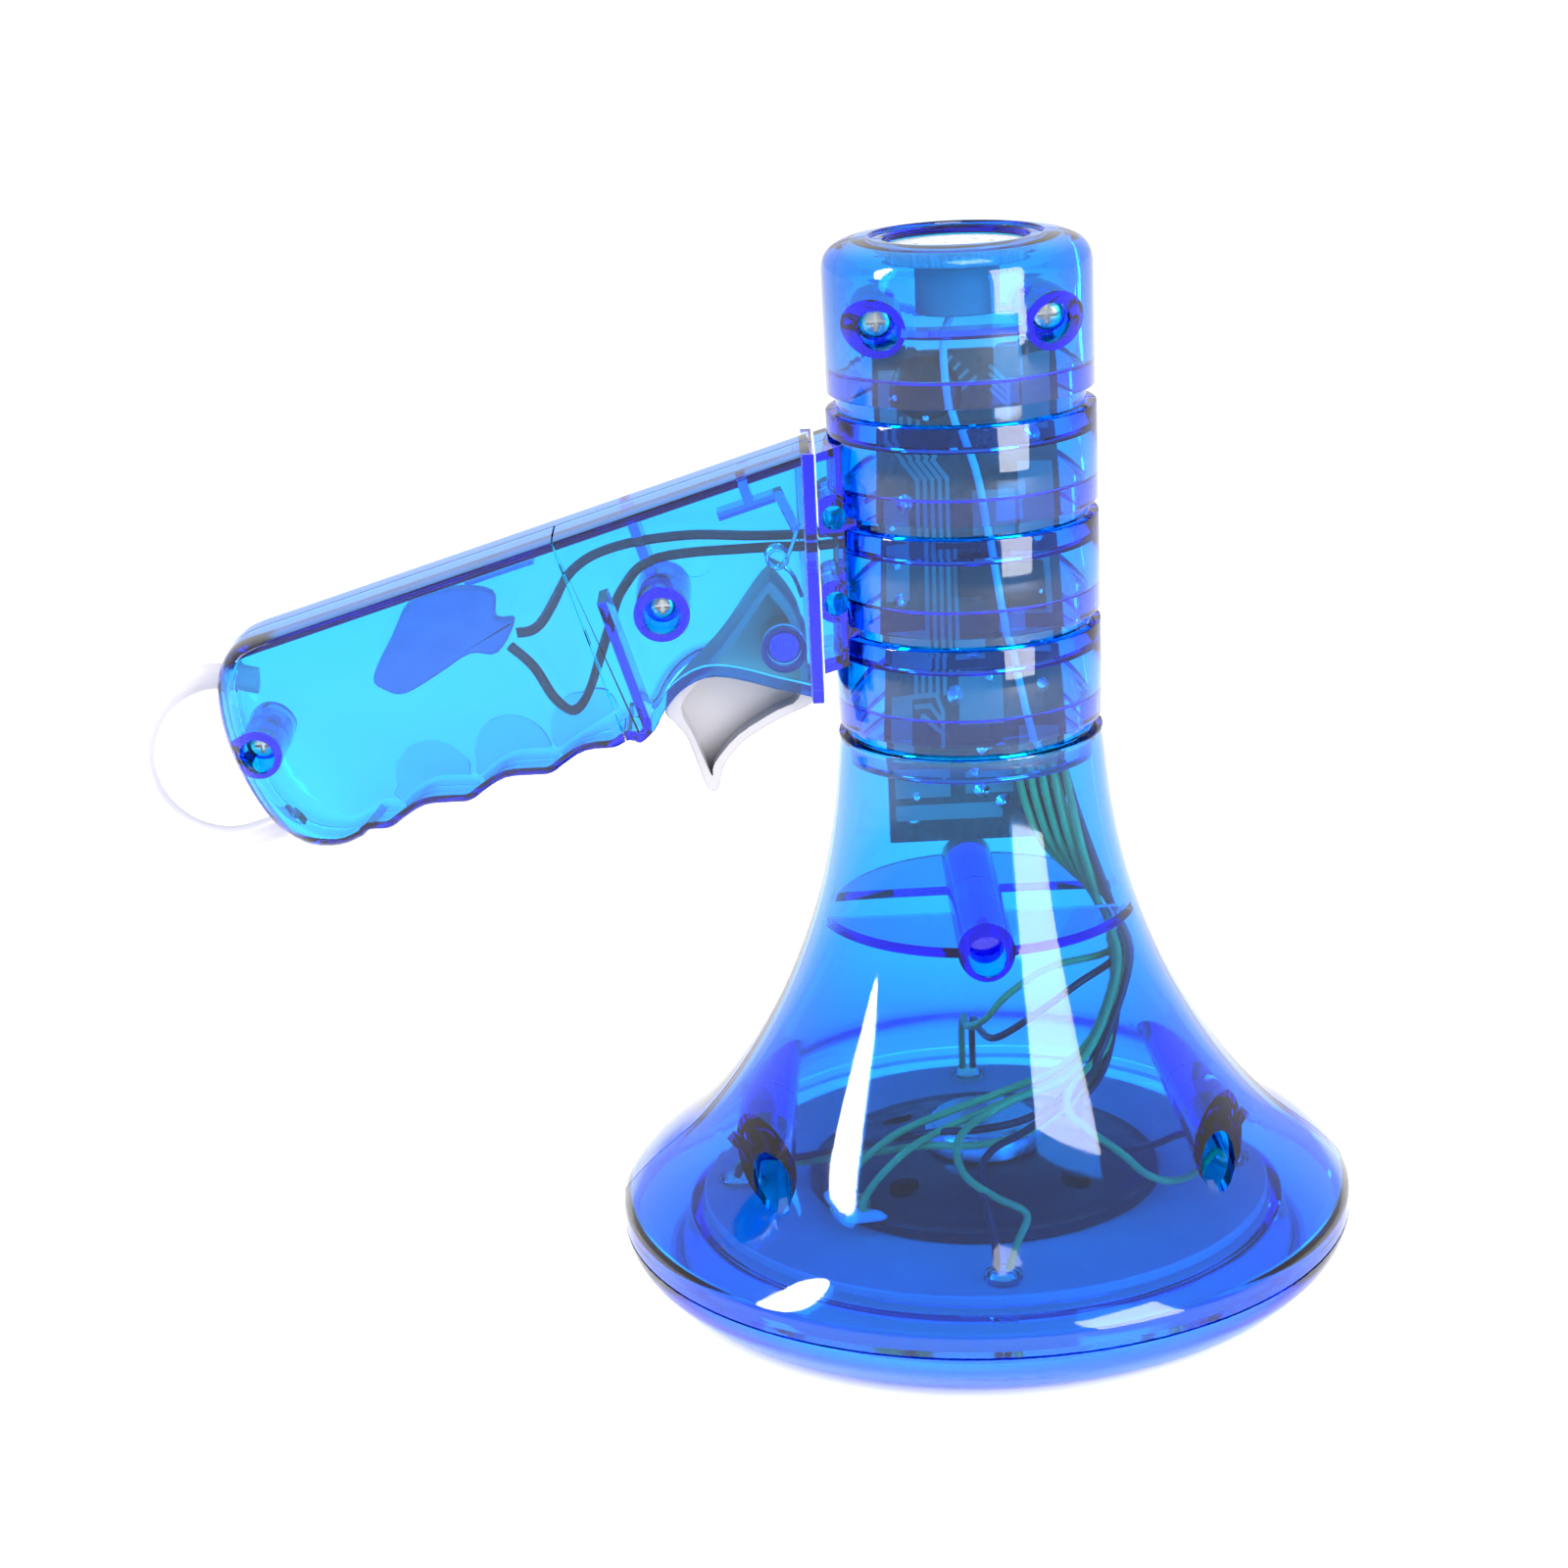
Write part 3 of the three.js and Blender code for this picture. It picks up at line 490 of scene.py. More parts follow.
# ---------------------------------------------------------------- body shells
WALL = 2.0
NECK_R, GROOVE_R, HEAD_R, TOP = 21.1, 19.4, 20.9, 169.0
BELL = [(60.05, 9.15), (60.1, 10.6), (59.7, 13), (55.2, 18), (47.0, 25), (40.3, 33), (34.5, 42),
        (29.5, 52), (25.2, 64), (22.6, 76), (21.2, 88), (21.1, 90.6)]
GROOVES = [(90.8, 92.8), (108.1, 110.0), (125.4, 127.4), (142.6, 145.3)]
RIM_R = 60.08  # widest radius, just inside the solid's
RIM_EXTRA, THICKENS_BELOW, THICKENS_OVER = 1.1, 60, 40
bell_outer = [(min(v.x, RIM_R), v.y) for v in smooth_line(BELL, 5)]
bell_inner = []
for i, (r, z) in enumerate(bell_outer):
    a, b = bell_outer[max(i - 1, 0)], bell_outer[min(i + 1, len(bell_outer) - 1)]
    t = Vector((b[0] - a[0], b[1] - a[1])).normalized()
    wall = WALL + RIM_EXTRA * max(0.0, min(1.0, (THICKENS_BELOW - z) / THICKENS_OVER))
    bell_inner.append((r - wall * t.y, z if i == 0 else z + wall * t.x))
neck_outer, neck_inner = [], []
E = 0.35
for z0, z1 in GROOVES:
    top_r = HEAD_R if z0 > 140 else NECK_R
    neck_outer += [(NECK_R, z0 - E), (NECK_R - 0.1, z0 - 0.1), (NECK_R - E, z0),
                   (GROOVE_R + 0.2, z0), (GROOVE_R, z0 + 0.2), (GROOVE_R, z1 - 0.2),
                   (GROOVE_R + 0.2, z1), (top_r - E, z1), (top_r - 0.1, z1 + 0.1),
                   (top_r, z1 + E)]
    neck_inner += [(NECK_R - WALL, z0 - 4.2), (NECK_R - WALL - 0.4, z0 - 4.0),
                   (GROOVE_R - WALL + 0.3, z0 - 3.8), (GROOVE_R - WALL, z0 - 3.5),
                   (GROOVE_R - WALL, z1 + 3.5), (GROOVE_R - WALL + 0.3, z1 + 3.8),
                   (NECK_R - WALL - 0.4, z1 + 4.0), (NECK_R - WALL, z1 + 4.2)]
lip = smooth_line([(HEAD_R, 163.6), (20.82, 164.8), (20.4, 166.2), (19.3, 167.5), (17.4, 168.4),
                   (15.4, 168.8), (14.1, 168.95)], 4)
lip = [(v.x, v.y) for v in lip] + [(13.75, TOP), (13.5, 168.95)]
outer = bell_outer[:-1] + neck_outer + lip
inner = bell_inner[:-2] + neck_inner + [(18.9, 164.2), (18.5, 165.4), (17.6, 166.5), (16.4, 167.2),
                                        (15.8, 167.3)]
envelope = lathe([(0, outer[0][1])] + outer + [(0, 168.95)])
cavity = lathe([(0, 8), (inner[0][0], 8)] + inner + [(0, 167.3)])
mic_opening = lathe([(0, 160), (11.3, 160), (11.3, 168.3), (11.6, 168.55), (13.2, 168.55),
                     (13.45, 168.8), (13.45, 175), (0, 175)])

HEAD_SCREWS = 2  # the first two bosses take a screw, the others are plain recesses
BOSSES = [(-13, 157, -6.6), (13, 157, -6.6), (0, 60.6, -21), (-35, 26, -12), (35, 26, -12)]


def plate(z, thick, gap, x0, x1):
    return box(x0, x1, -60, 60, z - thick / 2, z + thick / 2).cut(
        box(-80, 80, -gap, gap, z - thick, z + thick))


inside = [bar("y", (x, z), 4.4, -60, 60) for x, z, _ in BOSSES]
inside += [plate(156.4, 1.4, 13.5, -19, 19), plate(60.6, 1.5, 6.4, -40, 40),
           plate(26, 1.3, 12, 35, 50), plate(26, 1.3, 12, -50, -35)]
bracket = slab([(-23.0, 102.5), (-17.0, 104.2), (-17.0, 139.1), (-23.0, 137.4)], -9, 9)
bracket_hollow = slab([(-24.0, 104.3), (-16.8, 105.9), (-16.8, 137.2), (-24.0, 135.6)], -7.2, 7.2)
core = bar("z", (0, 0), 19.25, 88, 150, 96)
around = bar("z", (0, 0), 21.3, 88, 150, 96)
shell = envelope.cut(cavity).add(joined(inside).common(envelope)).add(bracket.cut(core))
shell = shell.cut(mic_opening, bracket_hollow.cut(around))
for i, (x, z, floor_y) in enumerate(BOSSES):
    shell = shell.cut(bar("y", (x, z), 3.0, -70, floor_y))
    if i < HEAD_SCREWS:
        shell = shell.cut(bar("y", (x, z), 1.45, -70, 8, 24))
for z in (100.4, 117.7, 135.0):
    shell = shell.cut(box(-5.5, 5.5, 12, 30, z - 1.6, z + 1.6))
for x, z in ((-20.6, 127.3), (-20.7, 113.7)):
    ear = bar("y", (x, z), 3.4, -9, 9).common(box(-23.0, 0, -20, 20, 90, 150)).cut(core)
    shell = shell.add(ear).cut(bar("y", (x, z), 1.9, -20, 5, 28))
shell = shell.cut(box(-30, -15, -5.2, 5.2, 117.8, 124.4))
near_half = box(-200, 200, -200, -SEAM, -10, 200)
far_half = box(-200, 200, SEAM, 200, -10, 200)
piece("shell_near", shell.common(near_half), BLUE, replaces=["body_shell_near"])
piece("shell_far", shell.common(far_half), BLUE, replaces=["body_shell_far"])

# ---------------------------------------------------------------- front ring
rim = smooth_line([(60.1, 8.85), (59.8, 7.2), (58.6, 5.0), (55.7, 2.0), (52.9, 0.2)], 5)
ring = [(min(v.x, RIM_R), v.y) for v in rim] + [
    (52.5, 0), (50.4, 0), (49.9, 0.2), (48.9, 1.4), (47.1, 8.4), (46.8, 8.6), (44.7, 8.6),
    (44.5, 8.8), (44.5, 10.0), (44.7, 10.2), (48.3, 10.2), (48.6, 10.0), (50.4, 3.4),
    (50.9, 2.6), (51.7, 2.2), (52.6, 2.3), (54.6, 4.0), (56.6, 6.2), (57.8, 8.0), (58.0, 8.85)]
piece("front_bezel", lathe(ring), BLUE, replaces=["front_ring"])

# ---------------------------------------------------------------- handle
TILT = math.radians(16.5)
EU = (-math.cos(TILT), -math.sin(TILT))
EV = (math.sin(TILT), -math.cos(TILT))


def uv(u, v):
    return (-23.2 + u * EU[0] + v * EV[0], 138.3 + u * EU[1] + v * EV[1])


H, HW, DRAW_IN = 10.5, 1.6, 6.0
grip_end = [(88, 0.0, 0.6, 5.0), (94.5, 0.1, 1.4, 5.0), (98.0, 1.5, 3.2, 5.2), (100.6, 4.8, 4.8, 5.4),
            (102.2, 9.5, 5.4, 5.4), (102.9, 15, 5.5, 5.5), (102.7, 21, 5.5, 5.5),
            (101.7, 26.5, 5.4, 5.4), (99.6, 31.4, 4.6, 4.6), (96.2, 34.8, 3.2, 3.2),
            (91.6, 36.2, 2.2, 2.2), (87.5, 35.8, 1.6, 1.6)]
fingers = []
for u in (83, 69.5, 56):
    fingers += [(u + 3, 35.1, 1.3, 1.3), (u + 0.6, 35.8, 1.3, 1.3), (u - 1.2, 35.65, 1.3, 1.3),
                (u - 3, 35.0, 1.3, 1.3), (u - 6.6, 34.2, 1.3, 1.3)]
guard = [(-52.2, 92.7), (-49.7, 94.8), (-48.1, 97.7), (-45.5, 100.7), (-41.6, 102.7), (-37.0, 102.3),
         (-31.0, 100.4)]
curved = [(*uv(q[0], q[1]), *q[2:]) for q in grip_end + fingers + [(45, 35.1, 1.1, 1.1),
                                                                  (42.4, 34.6, 0.8, 0.8)]]
curved = smooth_line(curved + [(*q, 0.6, 0.6) for q in guard], 3)
outline = [(-23.3, 138.25, 0.6, 5.0)] + [tuple(v) for v in curved] + [(-23.3, 98.25, 0.6, 0.6)]


def crowned(wall):
    """The handle's full shape, or with a wall thickness the hollow inside it."""
    half, reach, steps = H - wall, DRAW_IN - wall, 7
    rows, ys = [], []
    for side in (-1, 1):
        for i in range(steps + 1):
            a = math.pi / 2 * (1 - i / steps if side < 0 else i / steps)
            share = 1 - math.cos(a)
            rows.append(moved(outline, [wall + share * max(q[2 if side < 0 else 3] - wall, 0.3)
                                        for q in outline]))
            ys.append(side * (half - reach + reach * math.sin(a)))
    return stacked(rows, ys)


outer_grip, hollow = crowned(0), crowned(HW)
loop_centre = (-119.0, 91.0)
loop_path = [(-112.2, 0, 103.6)]
for i in range(11):
    a = math.radians(80 + i * 21.2)
    loop_path.append((loop_centre[0] + 13.6 * math.cos(a), 0, loop_centre[1] + 13.6 * math.sin(a)))
loop_path.append((-108.6, 0, 80.4))
SCREW_H, SCREW_C, PIVOT = (-47.9, 113.4), (-112.5, 93.8), (-29.2, 106.7)


def rib(points, y0, y1):
    return slab([uv(*q) for q in points], y0, y1)


ribs = [
    rib([(38.2, 12), (39.7, 12), (39.7, 33.5), (38.2, 33.5)], -H + 1, -SEAM),
    rib([(8.2, 5.9), (8.2, 4.6), (17.4, 4.6), (17.4, 5.9)], -H + 1, -4.5),
    rib([(11.4, 1), (12.9, 1), (12.9, 5), (11.4, 5)], -H + 1, -4.5),
    rib([(6.9, 4.4), (8.3, 4.4), (7.4, 11.2), (6.2, 11.2)], -H + 1, -5.5),
    rib([(30.6, 1), (32.2, 1), (32.2, 14.2), (30.6, 14.2)], 2.5, H - 1),
    rib([(48.5, 4.2), (48.5, 5.4), (59.8, 5.4), (59.8, 4.2)], 4.5, H - 1),
    bar("y", SCREW_H, 4.4, -H + 0.5, H - 0.5), bar("y", SCREW_C, 3.9, -H + 0.5, H - 0.5)]
scallops = []
for u in (50.5, 63.5, 77):
    scallops.append(bar("y", uv(u, 33.0), 6.2, H - HW - 0.9, H - 0.4, 56))
flange = slab([(-25.0, 98.4), (-23.4, 98.4), (-23.4, 137.6), (-25.0, 137.6)][::-1], -10.9, 10.9, 0.3)
trim = box(-200, -24.1, -50, 50, 0, 200)
grip = outer_grip.cut(hollow).add(joined(ribs).common(outer_grip))
grip = grip.add(joined(scallops).common(outer_grip)).common(trim).add(flange)
grip = grip.cut(
    bar("y", SCREW_H, 3.3, -20, -9.6, tip=2.9), bar("y", SCREW_H, 2.9, -20, -2.8),
    bar("y", SCREW_H, 1.45, -20, 7.2, 24), bar("y", SCREW_C, 2.8, -20, -2.0),
    bar("y", SCREW_C, 1.45, -20, 7.2, 24), bar("y", (-42.3, 122.2), 2.8, -20, -H + 0.16, 48),
    box(-50.6, -25.4, -6.4, 6.4, 90, 105.4), box(-30, -15, -5.2, 5.2, 117.8, 124.4),
    tube(loop_path, 2.45, 20))
front_zone = slab([uv(42.65, -30), uv(42.65, 60), (40, 60), (40, 150)], -40, 40)
cover_zone = slab([uv(42.95, -30), uv(140, -30), uv(140, 60), uv(42.95, 60)], -40, 40)
post = bar("y", PIVOT, 2.35, -6.6, H - 0.5)
socket = bar("y", PIVOT, 3.6, -H + 0.5, -6.2)
near_grip = grip.common(near_half)
piece("grip_far", grip.common(far_half).add(post), BLUE, replaces=["handle_shell_far"])
piece("grip_near", near_grip.common(front_zone).add(socket.common(outer_grip)).cut(
    bar("y", PIVOT, 2.7, -8.4, 0)), BLUE, replaces=["handle_shell_near"])
piece("grip_cover", near_grip.common(cover_zone), BLUE, "battery_door",
      replaces=["battery_cover"])
piece("loop", tube(loop_path, 2.1, 28, 8), PALE, replaces=["carry_loop"])


# ---------------------------------------------------------------- screws
def screw(name, node, x, z, head, y, tip, body="body"):
    solid = along_y(lathe([
        (0, y), (head * 0.55, y + 0.06), (head * 0.82, y + 0.28), (head * 0.97, y + 0.72), (head, y + 1.0),
        (head, y + 1.4), (1.15, y + 1.4), (1.15, tip - 1.2), (0.25, tip), (0, tip)], 48), x, z)
    a = head * 0.6
    for w, h in ((a, 0.28), (0.28, a)):
        solid = solid.cut(box(x - w, x + w, y - 1, y + 0.8, z - h, z + h))
    piece(name, solid, STEEL, body, [node], angle=30)


screw("screw_head_left", "head_screw_left", -13, 157, 2.5, -8.3, 7)
screw("screw_head_right", "head_screw_right", 13, 157, 2.5, -8.3, 7)
screw("screw_handle", "handle_screw", *SCREW_H, 2.0, -4.6, 6.6)
screw("screw_cover", "battery_cover_screw", *SCREW_C, 2.0, -3.8, 6.6, "battery_door")

# ---------------------------------------------------------------- trigger and spring
TH = 5.9
trigger_outline = smooth_line([
    (-48.3, 97.2), (-46.9, 94.6), (-45.3, 92.4), (-44.1, 89.0), (-42.6, 84.2), (-41.4, 83.2),
    (-40.4, 84.2), (-39.5, 87.4), (-36.1, 91.3), (-30.4, 94.6), (-25.1, 97.0), (-25.5, 99.4),
    (-25.7, 104.0), (-26.8, 111.0), (-30.0, 116.2), (-32.2, 116.2), (-38.8, 107.4),
    (-44.0, 102.2)], 4, closed=True)
trigger_outline = [(v.x, v.y) for v in trigger_outline]
pocket = smooth_line([
    (-45.9, 97.4), (-44.1, 92.6), (-42.9, 89.2), (-41.5, 85.8), (-41.0, 87.9), (-37.0, 92.4),
    (-31.0, 96.0), (-27.2, 98.0), (-27.0, 104.0), (-28.1, 110.4), (-30.9, 114.6), (-31.8, 114.6),
    (-37.7, 106.6), (-42.9, 101.4)], 3, closed=True)
pocket = [(v.x, v.y) for v in pocket]
lever = slab(trigger_outline, -TH, TH, 0.45)
lever = lever.cut(slab(pocket, -TH - 1, -1.4), slab(pocket, 1.4, TH + 1))
lever = lever.add(bar("y", PIVOT, 3.6, -TH, TH)).cut(bar("y", PIVOT, 2.65, -20, 20))
piece("trigger_lever", lever, GREY, "trigger", ["trigger"], angle=40)
coil = [(-26.0, -2.4, 125.4), (-27.0, -2.3, 122.4)]
for i in range(21):
    a = 0.3 + i * math.pi / 4
    coil.append((-29.6 + 1.6 * math.cos(a), -2 + 0.2 * i, 119.6 + 1.6 * math.sin(a)))
coil += [(-27.6, 2.2, 116.6), (-25.95, 2.4, 112.4)]
piece("torsion_spring", tube(coil, 0.34, 10, 5), SPRING, replaces=["trigger_spring"])

# ---------------------------------------------------------------- loudspeaker
slots = []
for x in (-18, -12, -6, 0, 6, 12, 18):
    reach = math.sqrt(23 * 23 - x * x)
    slots.append(box(x - 1.3, x + 1.3, -reach, reach, 0, 20))
leds = [("near", 0, -41), ("right", 41, 0), ("far", 0, 41), ("left", -41, 0)]
disc = lathe([(0, 10.5), (45.9, 10.5), (46.4, 10.8), (46.4, 12.0), (46.1, 12.3), (29.7, 12.3),
              (0, 12.3)], 128)
disc = disc.cut(*slots)
for _, x, y in leds:
    disc = disc.cut(bar("z", (x, y), 2.8, 0, 20, 28))
piece("front_disc", disc, DISC, replaces=["speaker_grille"])

basket = lathe([
    (29.0, 12.6), (29.0, 14.2), (28.8, 14.4), (26.8, 14.4), (26.2, 14.7), (24.6, 15.0), (20.6, 16.0),
    (19.4, 16.6), (15.2, 17.2), (14.0, 17.6), (8.2, 17.6), (8.2, 16.4), (13.6, 16.4), (19.0, 15.4),
    (19.8, 14.9), (24.2, 13.9), (24.6, 13.6), (24.6, 12.6)], 96)
windows = []
for k in range(4):
    a = math.radians(45 + 90 * k)
    windows.append(bar("z", (19.6 * math.cos(a), 19.6 * math.sin(a)), 2.6, 13, 25, 32))
piece("basket", basket.cut(*windows), BASKET, replaces=["speaker_basket"])
piece("cone", lathe([
    (24.2, 12.8), (24.2, 13.3), (23.4, 13.5), (22.2, 13.3), (20.6, 13.9), (10.0, 15.5), (5.0, 16.0),
    (0, 16.1), (0, 15.4), (5.0, 15.3), (10.0, 14.8), (20.4, 13.2), (21.8, 12.8)], 72), CONE,
    replaces=["speaker_cone"])
piece("magnet_cup", lathe([
    (0, 17.9), (9.3, 17.9), (9.6, 18.2), (9.6, 21.0), (9.3, 21.5), (8.8, 21.6), (8.6, 21.8),
    (8.6, 22.2), (8.2, 22.6), (4.2, 22.6), (3.9, 22.4), (0, 22.4)], 72), MAGNET,
    replaces=["speaker_magnet"])
tag = box(-26.0, -19.5, -21.0, -16.0, 15.6, 16.7)
for x, y in ((-24.4, -18.4), (-21.2, -18.0)):
    tag = tag.cut(bar("z", (x, y), 0.45, 15, 22, 16))
piece("terminal_tag", tag, TERMINAL, replaces=["speaker_terminal"],
      soften=0.2)


def lump(at, size, seed, rings=12):
    """Uneven rounded blob of hardened glue or solder."""
    verts, faces = [], []
    for i in range(rings + 1):
        a = math.pi * i / rings
        for k in range(2 * rings):
            b = math.pi * k / rings
            w = 1 + 0.10 * math.sin(3 * b + seed) * math.sin(a) + 0.08 * math.cos(4 * a + 2 * seed)
            verts.append((at[0] + w * size[0] * math.sin(a) * math.cos(b),
                          at[1] + w * size[1] * math.sin(a) * math.sin(b),
                          at[2] + w * size[2] * math.cos(a)))
    n = 2 * rings
    for i in range(rings):
        for k in range(n):
            j = (k + 1) % n
            f = [i * n + k, i * n + j, (i + 1) * n + j, (i + 1) * n + k]
            if i == 0:
                f = [f[0], f[2], f[3]]
            elif i == rings - 1:
                f = [f[0], f[1], f[2]]
            faces.append(f)
    for row_ in (0, rings):
        for k in range(1, n):
            faces = [[row_ * n if v == row_ * n + k else v for v in f] for f in faces]
    used = sorted({v for f in faces for v in f})
    index = {v: i for i, v in enumerate(used)}
    return Solid([verts[v] for v in used], [[index[v] for v in f] for f in faces])


piece("glue_front", lump((-24.4, -18.9, 17.3), (2.6, 1.9, 1.5), 1), GLUE, angle=80)
piece("glue_rear", lump((-20.6, -23.2, 15.8), (3.4, 1.6, 1.1), 2.2), GLUE, angle=80)
for name, x, y in leds:
    piece("lamp_" + name, lathe([
        (0, 7.0), (1.0, 7.2), (1.9, 8.0), (2.4, 9.2), (2.5, 10.2), (2.5, 12.6), (2.95, 12.65),
        (2.95, 13.5), (0, 13.6)], 40), LENS, replaces=["led_" + name]).location = (
            x * MM, y * MM, 0)

# ---------------------------------------------------------------- microphone
mic_disc = lathe([(0, 165.2), (12.4, 165.2), (12.6, 165.4), (12.6, 166.8), (12.4, 167.0), (0, 167.0)], 96)
holes = [(0, 0)]
for count, r in ((6, 3.4), (12, 6.8)):
    for i in range(count):
        a = 2 * math.pi * i / count
        holes.append((r * math.cos(a), r * math.sin(a)))
for q in holes:
    mic_disc = mic_disc.cut(bar("z", q, 0.55, 160, 170, 16))
piece("mic_disc", mic_disc, FOAM, replaces=["mic_grille"])
piece("mic_sleeve", lathe([
    (5.1, 157.6), (6.2, 157.6), (6.5, 157.9), (6.5, 164.5), (6.2, 164.8), (5.1, 164.8)], 64), GREY,
    replaces=["mic_holder"])
piece("mic_can", lathe([
    (0, 159.6), (4.4, 159.6), (4.4, 159.4), (4.7, 159.4), (4.8, 159.6), (4.8, 164.0), (4.6, 164.2),
    (0, 164.2)], 48), CAPSULE, replaces=["mic_capsule"])

# ---------------------------------------------------------------- circuit board
BY0, BY1 = -1.8, -0.2
board = box(-13.5, 14.8, BY0, BY1, 72, 152.2)
for x, z in ((-9.6, 75.6), (11.6, 97.0), (11.8, 119.6)):
    board = board.cut(bar("y", (x, z), 0.9, -5, 5, 20))
piece("board", board, BOARD, replaces=["circuit_board"], soften=0.12)


def track(points, width):
    """A raised copper run on the near face of the board."""
    parts = []
    for a, b in zip(points, points[1:]):
        d = Vector((b[0] - a[0], b[1] - a[1])).normalized() * width / 2
        n = Vector((-d.y, d.x))
        quad = [(a[0] - d.x - n.x, a[1] - d.y - n.y), (b[0] + d.x - n.x, b[1] + d.y - n.y),
                (b[0] + d.x + n.x, b[1] + d.y + n.y), (a[0] - d.x + n.x, a[1] - d.y + n.y)]
        parts.append(slab(quad, BY0 - 0.07, BY0 + 0.3))
    return joined(parts)


tracks = []
for k in range(5):
    x = -7.2 + 1.15 * k
    tracks.append(track([(x - 2.2, 133.6), (x, 131.2), (x, 121.4), (x + 0.9, 119.6), (x + 0.9, 104.0),
                         (x - 1.4, 101.0), (x - 1.4, 96.4)], 0.62))
for k in range(5):
    x = -12.0 + 1.3 * k
    tracks.append(track([(x, 141.0), (x, 136.6), (x + 2.4, 134.0)], 0.6))
for k in range(4):
    tracks.append(track([(-1.4 + 1.2 * k, 151.2 - k), (-4.6 + 0.6 * k, 147.6 - 1.1 * k),
                         (-6.8, 147.0 - 1.1 * k)], 0.5))
    tracks.append(track([(4.6, 149.6 - 1.1 * k), (7.2, 147.2 - 1.1 * k), (7.2, 143.8 - 1.1 * k)], 0.55))
for k in range(3):
    z = 96.2 - 1.3 * k
    tracks.append(track([(-9.6 + k, z), (-5.4 - k, z), (-4.4, z - 2.2), (-4.4, 90.6 - k)], 0.6))
pads = [(-12.6, -10.0, 139.6, 149.0), (-12.6, -9.0, 112.4, 119.8), (-12.4, -8.6, 121.4, 129.4),
        (1.2, 7.8, 122.0, 129.6), (9.2, 13.6, 137.2, 150.6), (8.4, 13.8, 121.2, 133.0),
        (-1.8, 5.2, 92.4, 99.4), (-2.2, 2.6, 100.6, 106.0), (6.6, 13.4, 101.4, 108.4),
        (-12.4, -6.6, 99.8, 108.6), (7.2, 13.2, 110.2, 118.0), (-12.4, -9.2, 86.0, 96.4),
        (-12.4, -3.6, 79.4, 84.4), (-1.2, 6.4, 79.8, 83.6), (7.4, 13.6, 80.0, 92.0),
        (-12.4, 4.6, 75.6, 78.2)]
for x0, x1, z0, z1 in pads:
    tracks.append(box(x0, x1, BY0 - 0.07, BY0 + 0.3, z0, z1))
copper = tracks[0]
for t in tracks[1:]:
    copper = copper.add(t)
piece("board_copper", copper, COPPER, angle=20)
blobs = [(-9.9, 145.6), (-5.6, 141.0), (-1.2, 143.6), (-9.2, 128.4), (11.0, 136.4), (-10.4, 112.4),
         (3.6, 137.6), (3.2, 98.2), (10.4, 103.6), (0.6, 101.6), (-9.2, 82.6), (-9.0, 79.6),
         (0.4, 83.4), (1.4, 80.2), (4.8, 78.2), (10.6, 88.4), (10.8, 84.0), (10.4, 79.6), (2.0, 87.2),
         (4.6, 88.8), (-11.4, 123.8), (-11.0, 117.0), (11.4, 113.0), (-2.4, 96.0)]
for i, (x, z) in enumerate(blobs):
    r = 0.75 + 0.25 * math.sin(5 * i)
    piece(f"solder_{i + 1:02d}", along_y(lathe([
        (0, -0.62 - 0.4 * r), (0.28, -0.55 - 0.4 * r), (0.45, -0.75), (0.7 * r + 0.2, -0.35),
        (r + 0.25, -0.05), (r + 0.3, 0.0), (0, 0)], 20), x, z), SOLDER, angle=80).location = (
            0, (BY0 - 0.05) * MM, 0)
dark = [(-9.6, -2.2, 134.6, 139.4, 1.0), (-1.4, 4.8, 112.6, 117.8, 1.1), (6.2, 12.2, 110.8, 116.8, 0.9),
        (-4.8, 2.2, 118.8, 121.4, 0.8)]
for i, (x0, x1, z0, z1, h) in enumerate(dark):
    piece(f"board_chip_{i + 1}", box(x0, x1, BY0 - h, BY0 - 0.08, z0, z1), EPOXY, soften=0.25)
piece("board_blob", along_y(lathe([
    (0, -1.5), (2.4, -1.4), (4.2, -1.0), (5.2, -0.4), (5.5, 0.0), (0, 0)], 40), -5.4, 146.0),
    EPOXY, angle=80).location = (0, (BY0 - 0.08) * MM, 0)
piece("chip_voice", box(-8, 0, 0.1, 2.4, 105.5, 112.5), EPOXY, replaces=["voice_chip"],
      soften=0.2)
piece("chip_amplifier", box(3, 10, 0.1, 2.6, 80, 89), EPOXY, replaces=["amplifier_chip"],
      soften=0.2)
for name, node, x, y, r, z0, z1 in (("can_large", "capacitor_large", -8.2, 5.4, 4.4, 78, 90),
                                    ("can_small", "capacitor_small", 8.6, 3.6, 2.9, 145.3, 152)):
    piece(name, lathe([
        (0, z0), (r - 0.3, z0), (r, z0 + 0.3), (r, z0 + 1.2), (r - 0.25, z0 + 1.6), (r, z0 + 2.0),
        (r, z1 - 0.4), (r - 0.4, z1), (r - 0.9, z1), (r - 1.0, z1 - 0.15), (0, z1 - 0.15)], 40),
        SLEEVE, replaces=[node]).location = (x * MM, y * MM, 0)
for i, z in enumerate((100.4, 117.7, 135.0)):
    case = box(-7.2, 7.2, 0.1, 6.8, z - 3.4, z + 3.4).cut(box(-5.4, 5.4, 2.6, 7.5, z - 1.7, z + 1.7))
    piece(f"switch_case_{i + 1}", case, SHEET, replaces=[f"voice_switch_{i + 1}"],
          soften=0.15)
    cap = box(-3.3, -0.7, 2.9, 21.8, z - 1.3, z + 1.3).add(
        slab([(-5.0, z - 2.6), (1.0, z - 2.6), (1.0, z + 2.6), (-5.0, z + 2.6)], 21.6, 25.2, 0.5))
    for dz in (-1.3, 0, 1.3):
        cap = cap.cut(box(-5.5, 1.5, 24.8, 26, z + dz - 0.2, z + dz + 0.2))
    piece(f"lever_knob_{i + 1}", cap, GREY, f"lever_{i + 1}", [f"voice_lever_{i + 1}"])

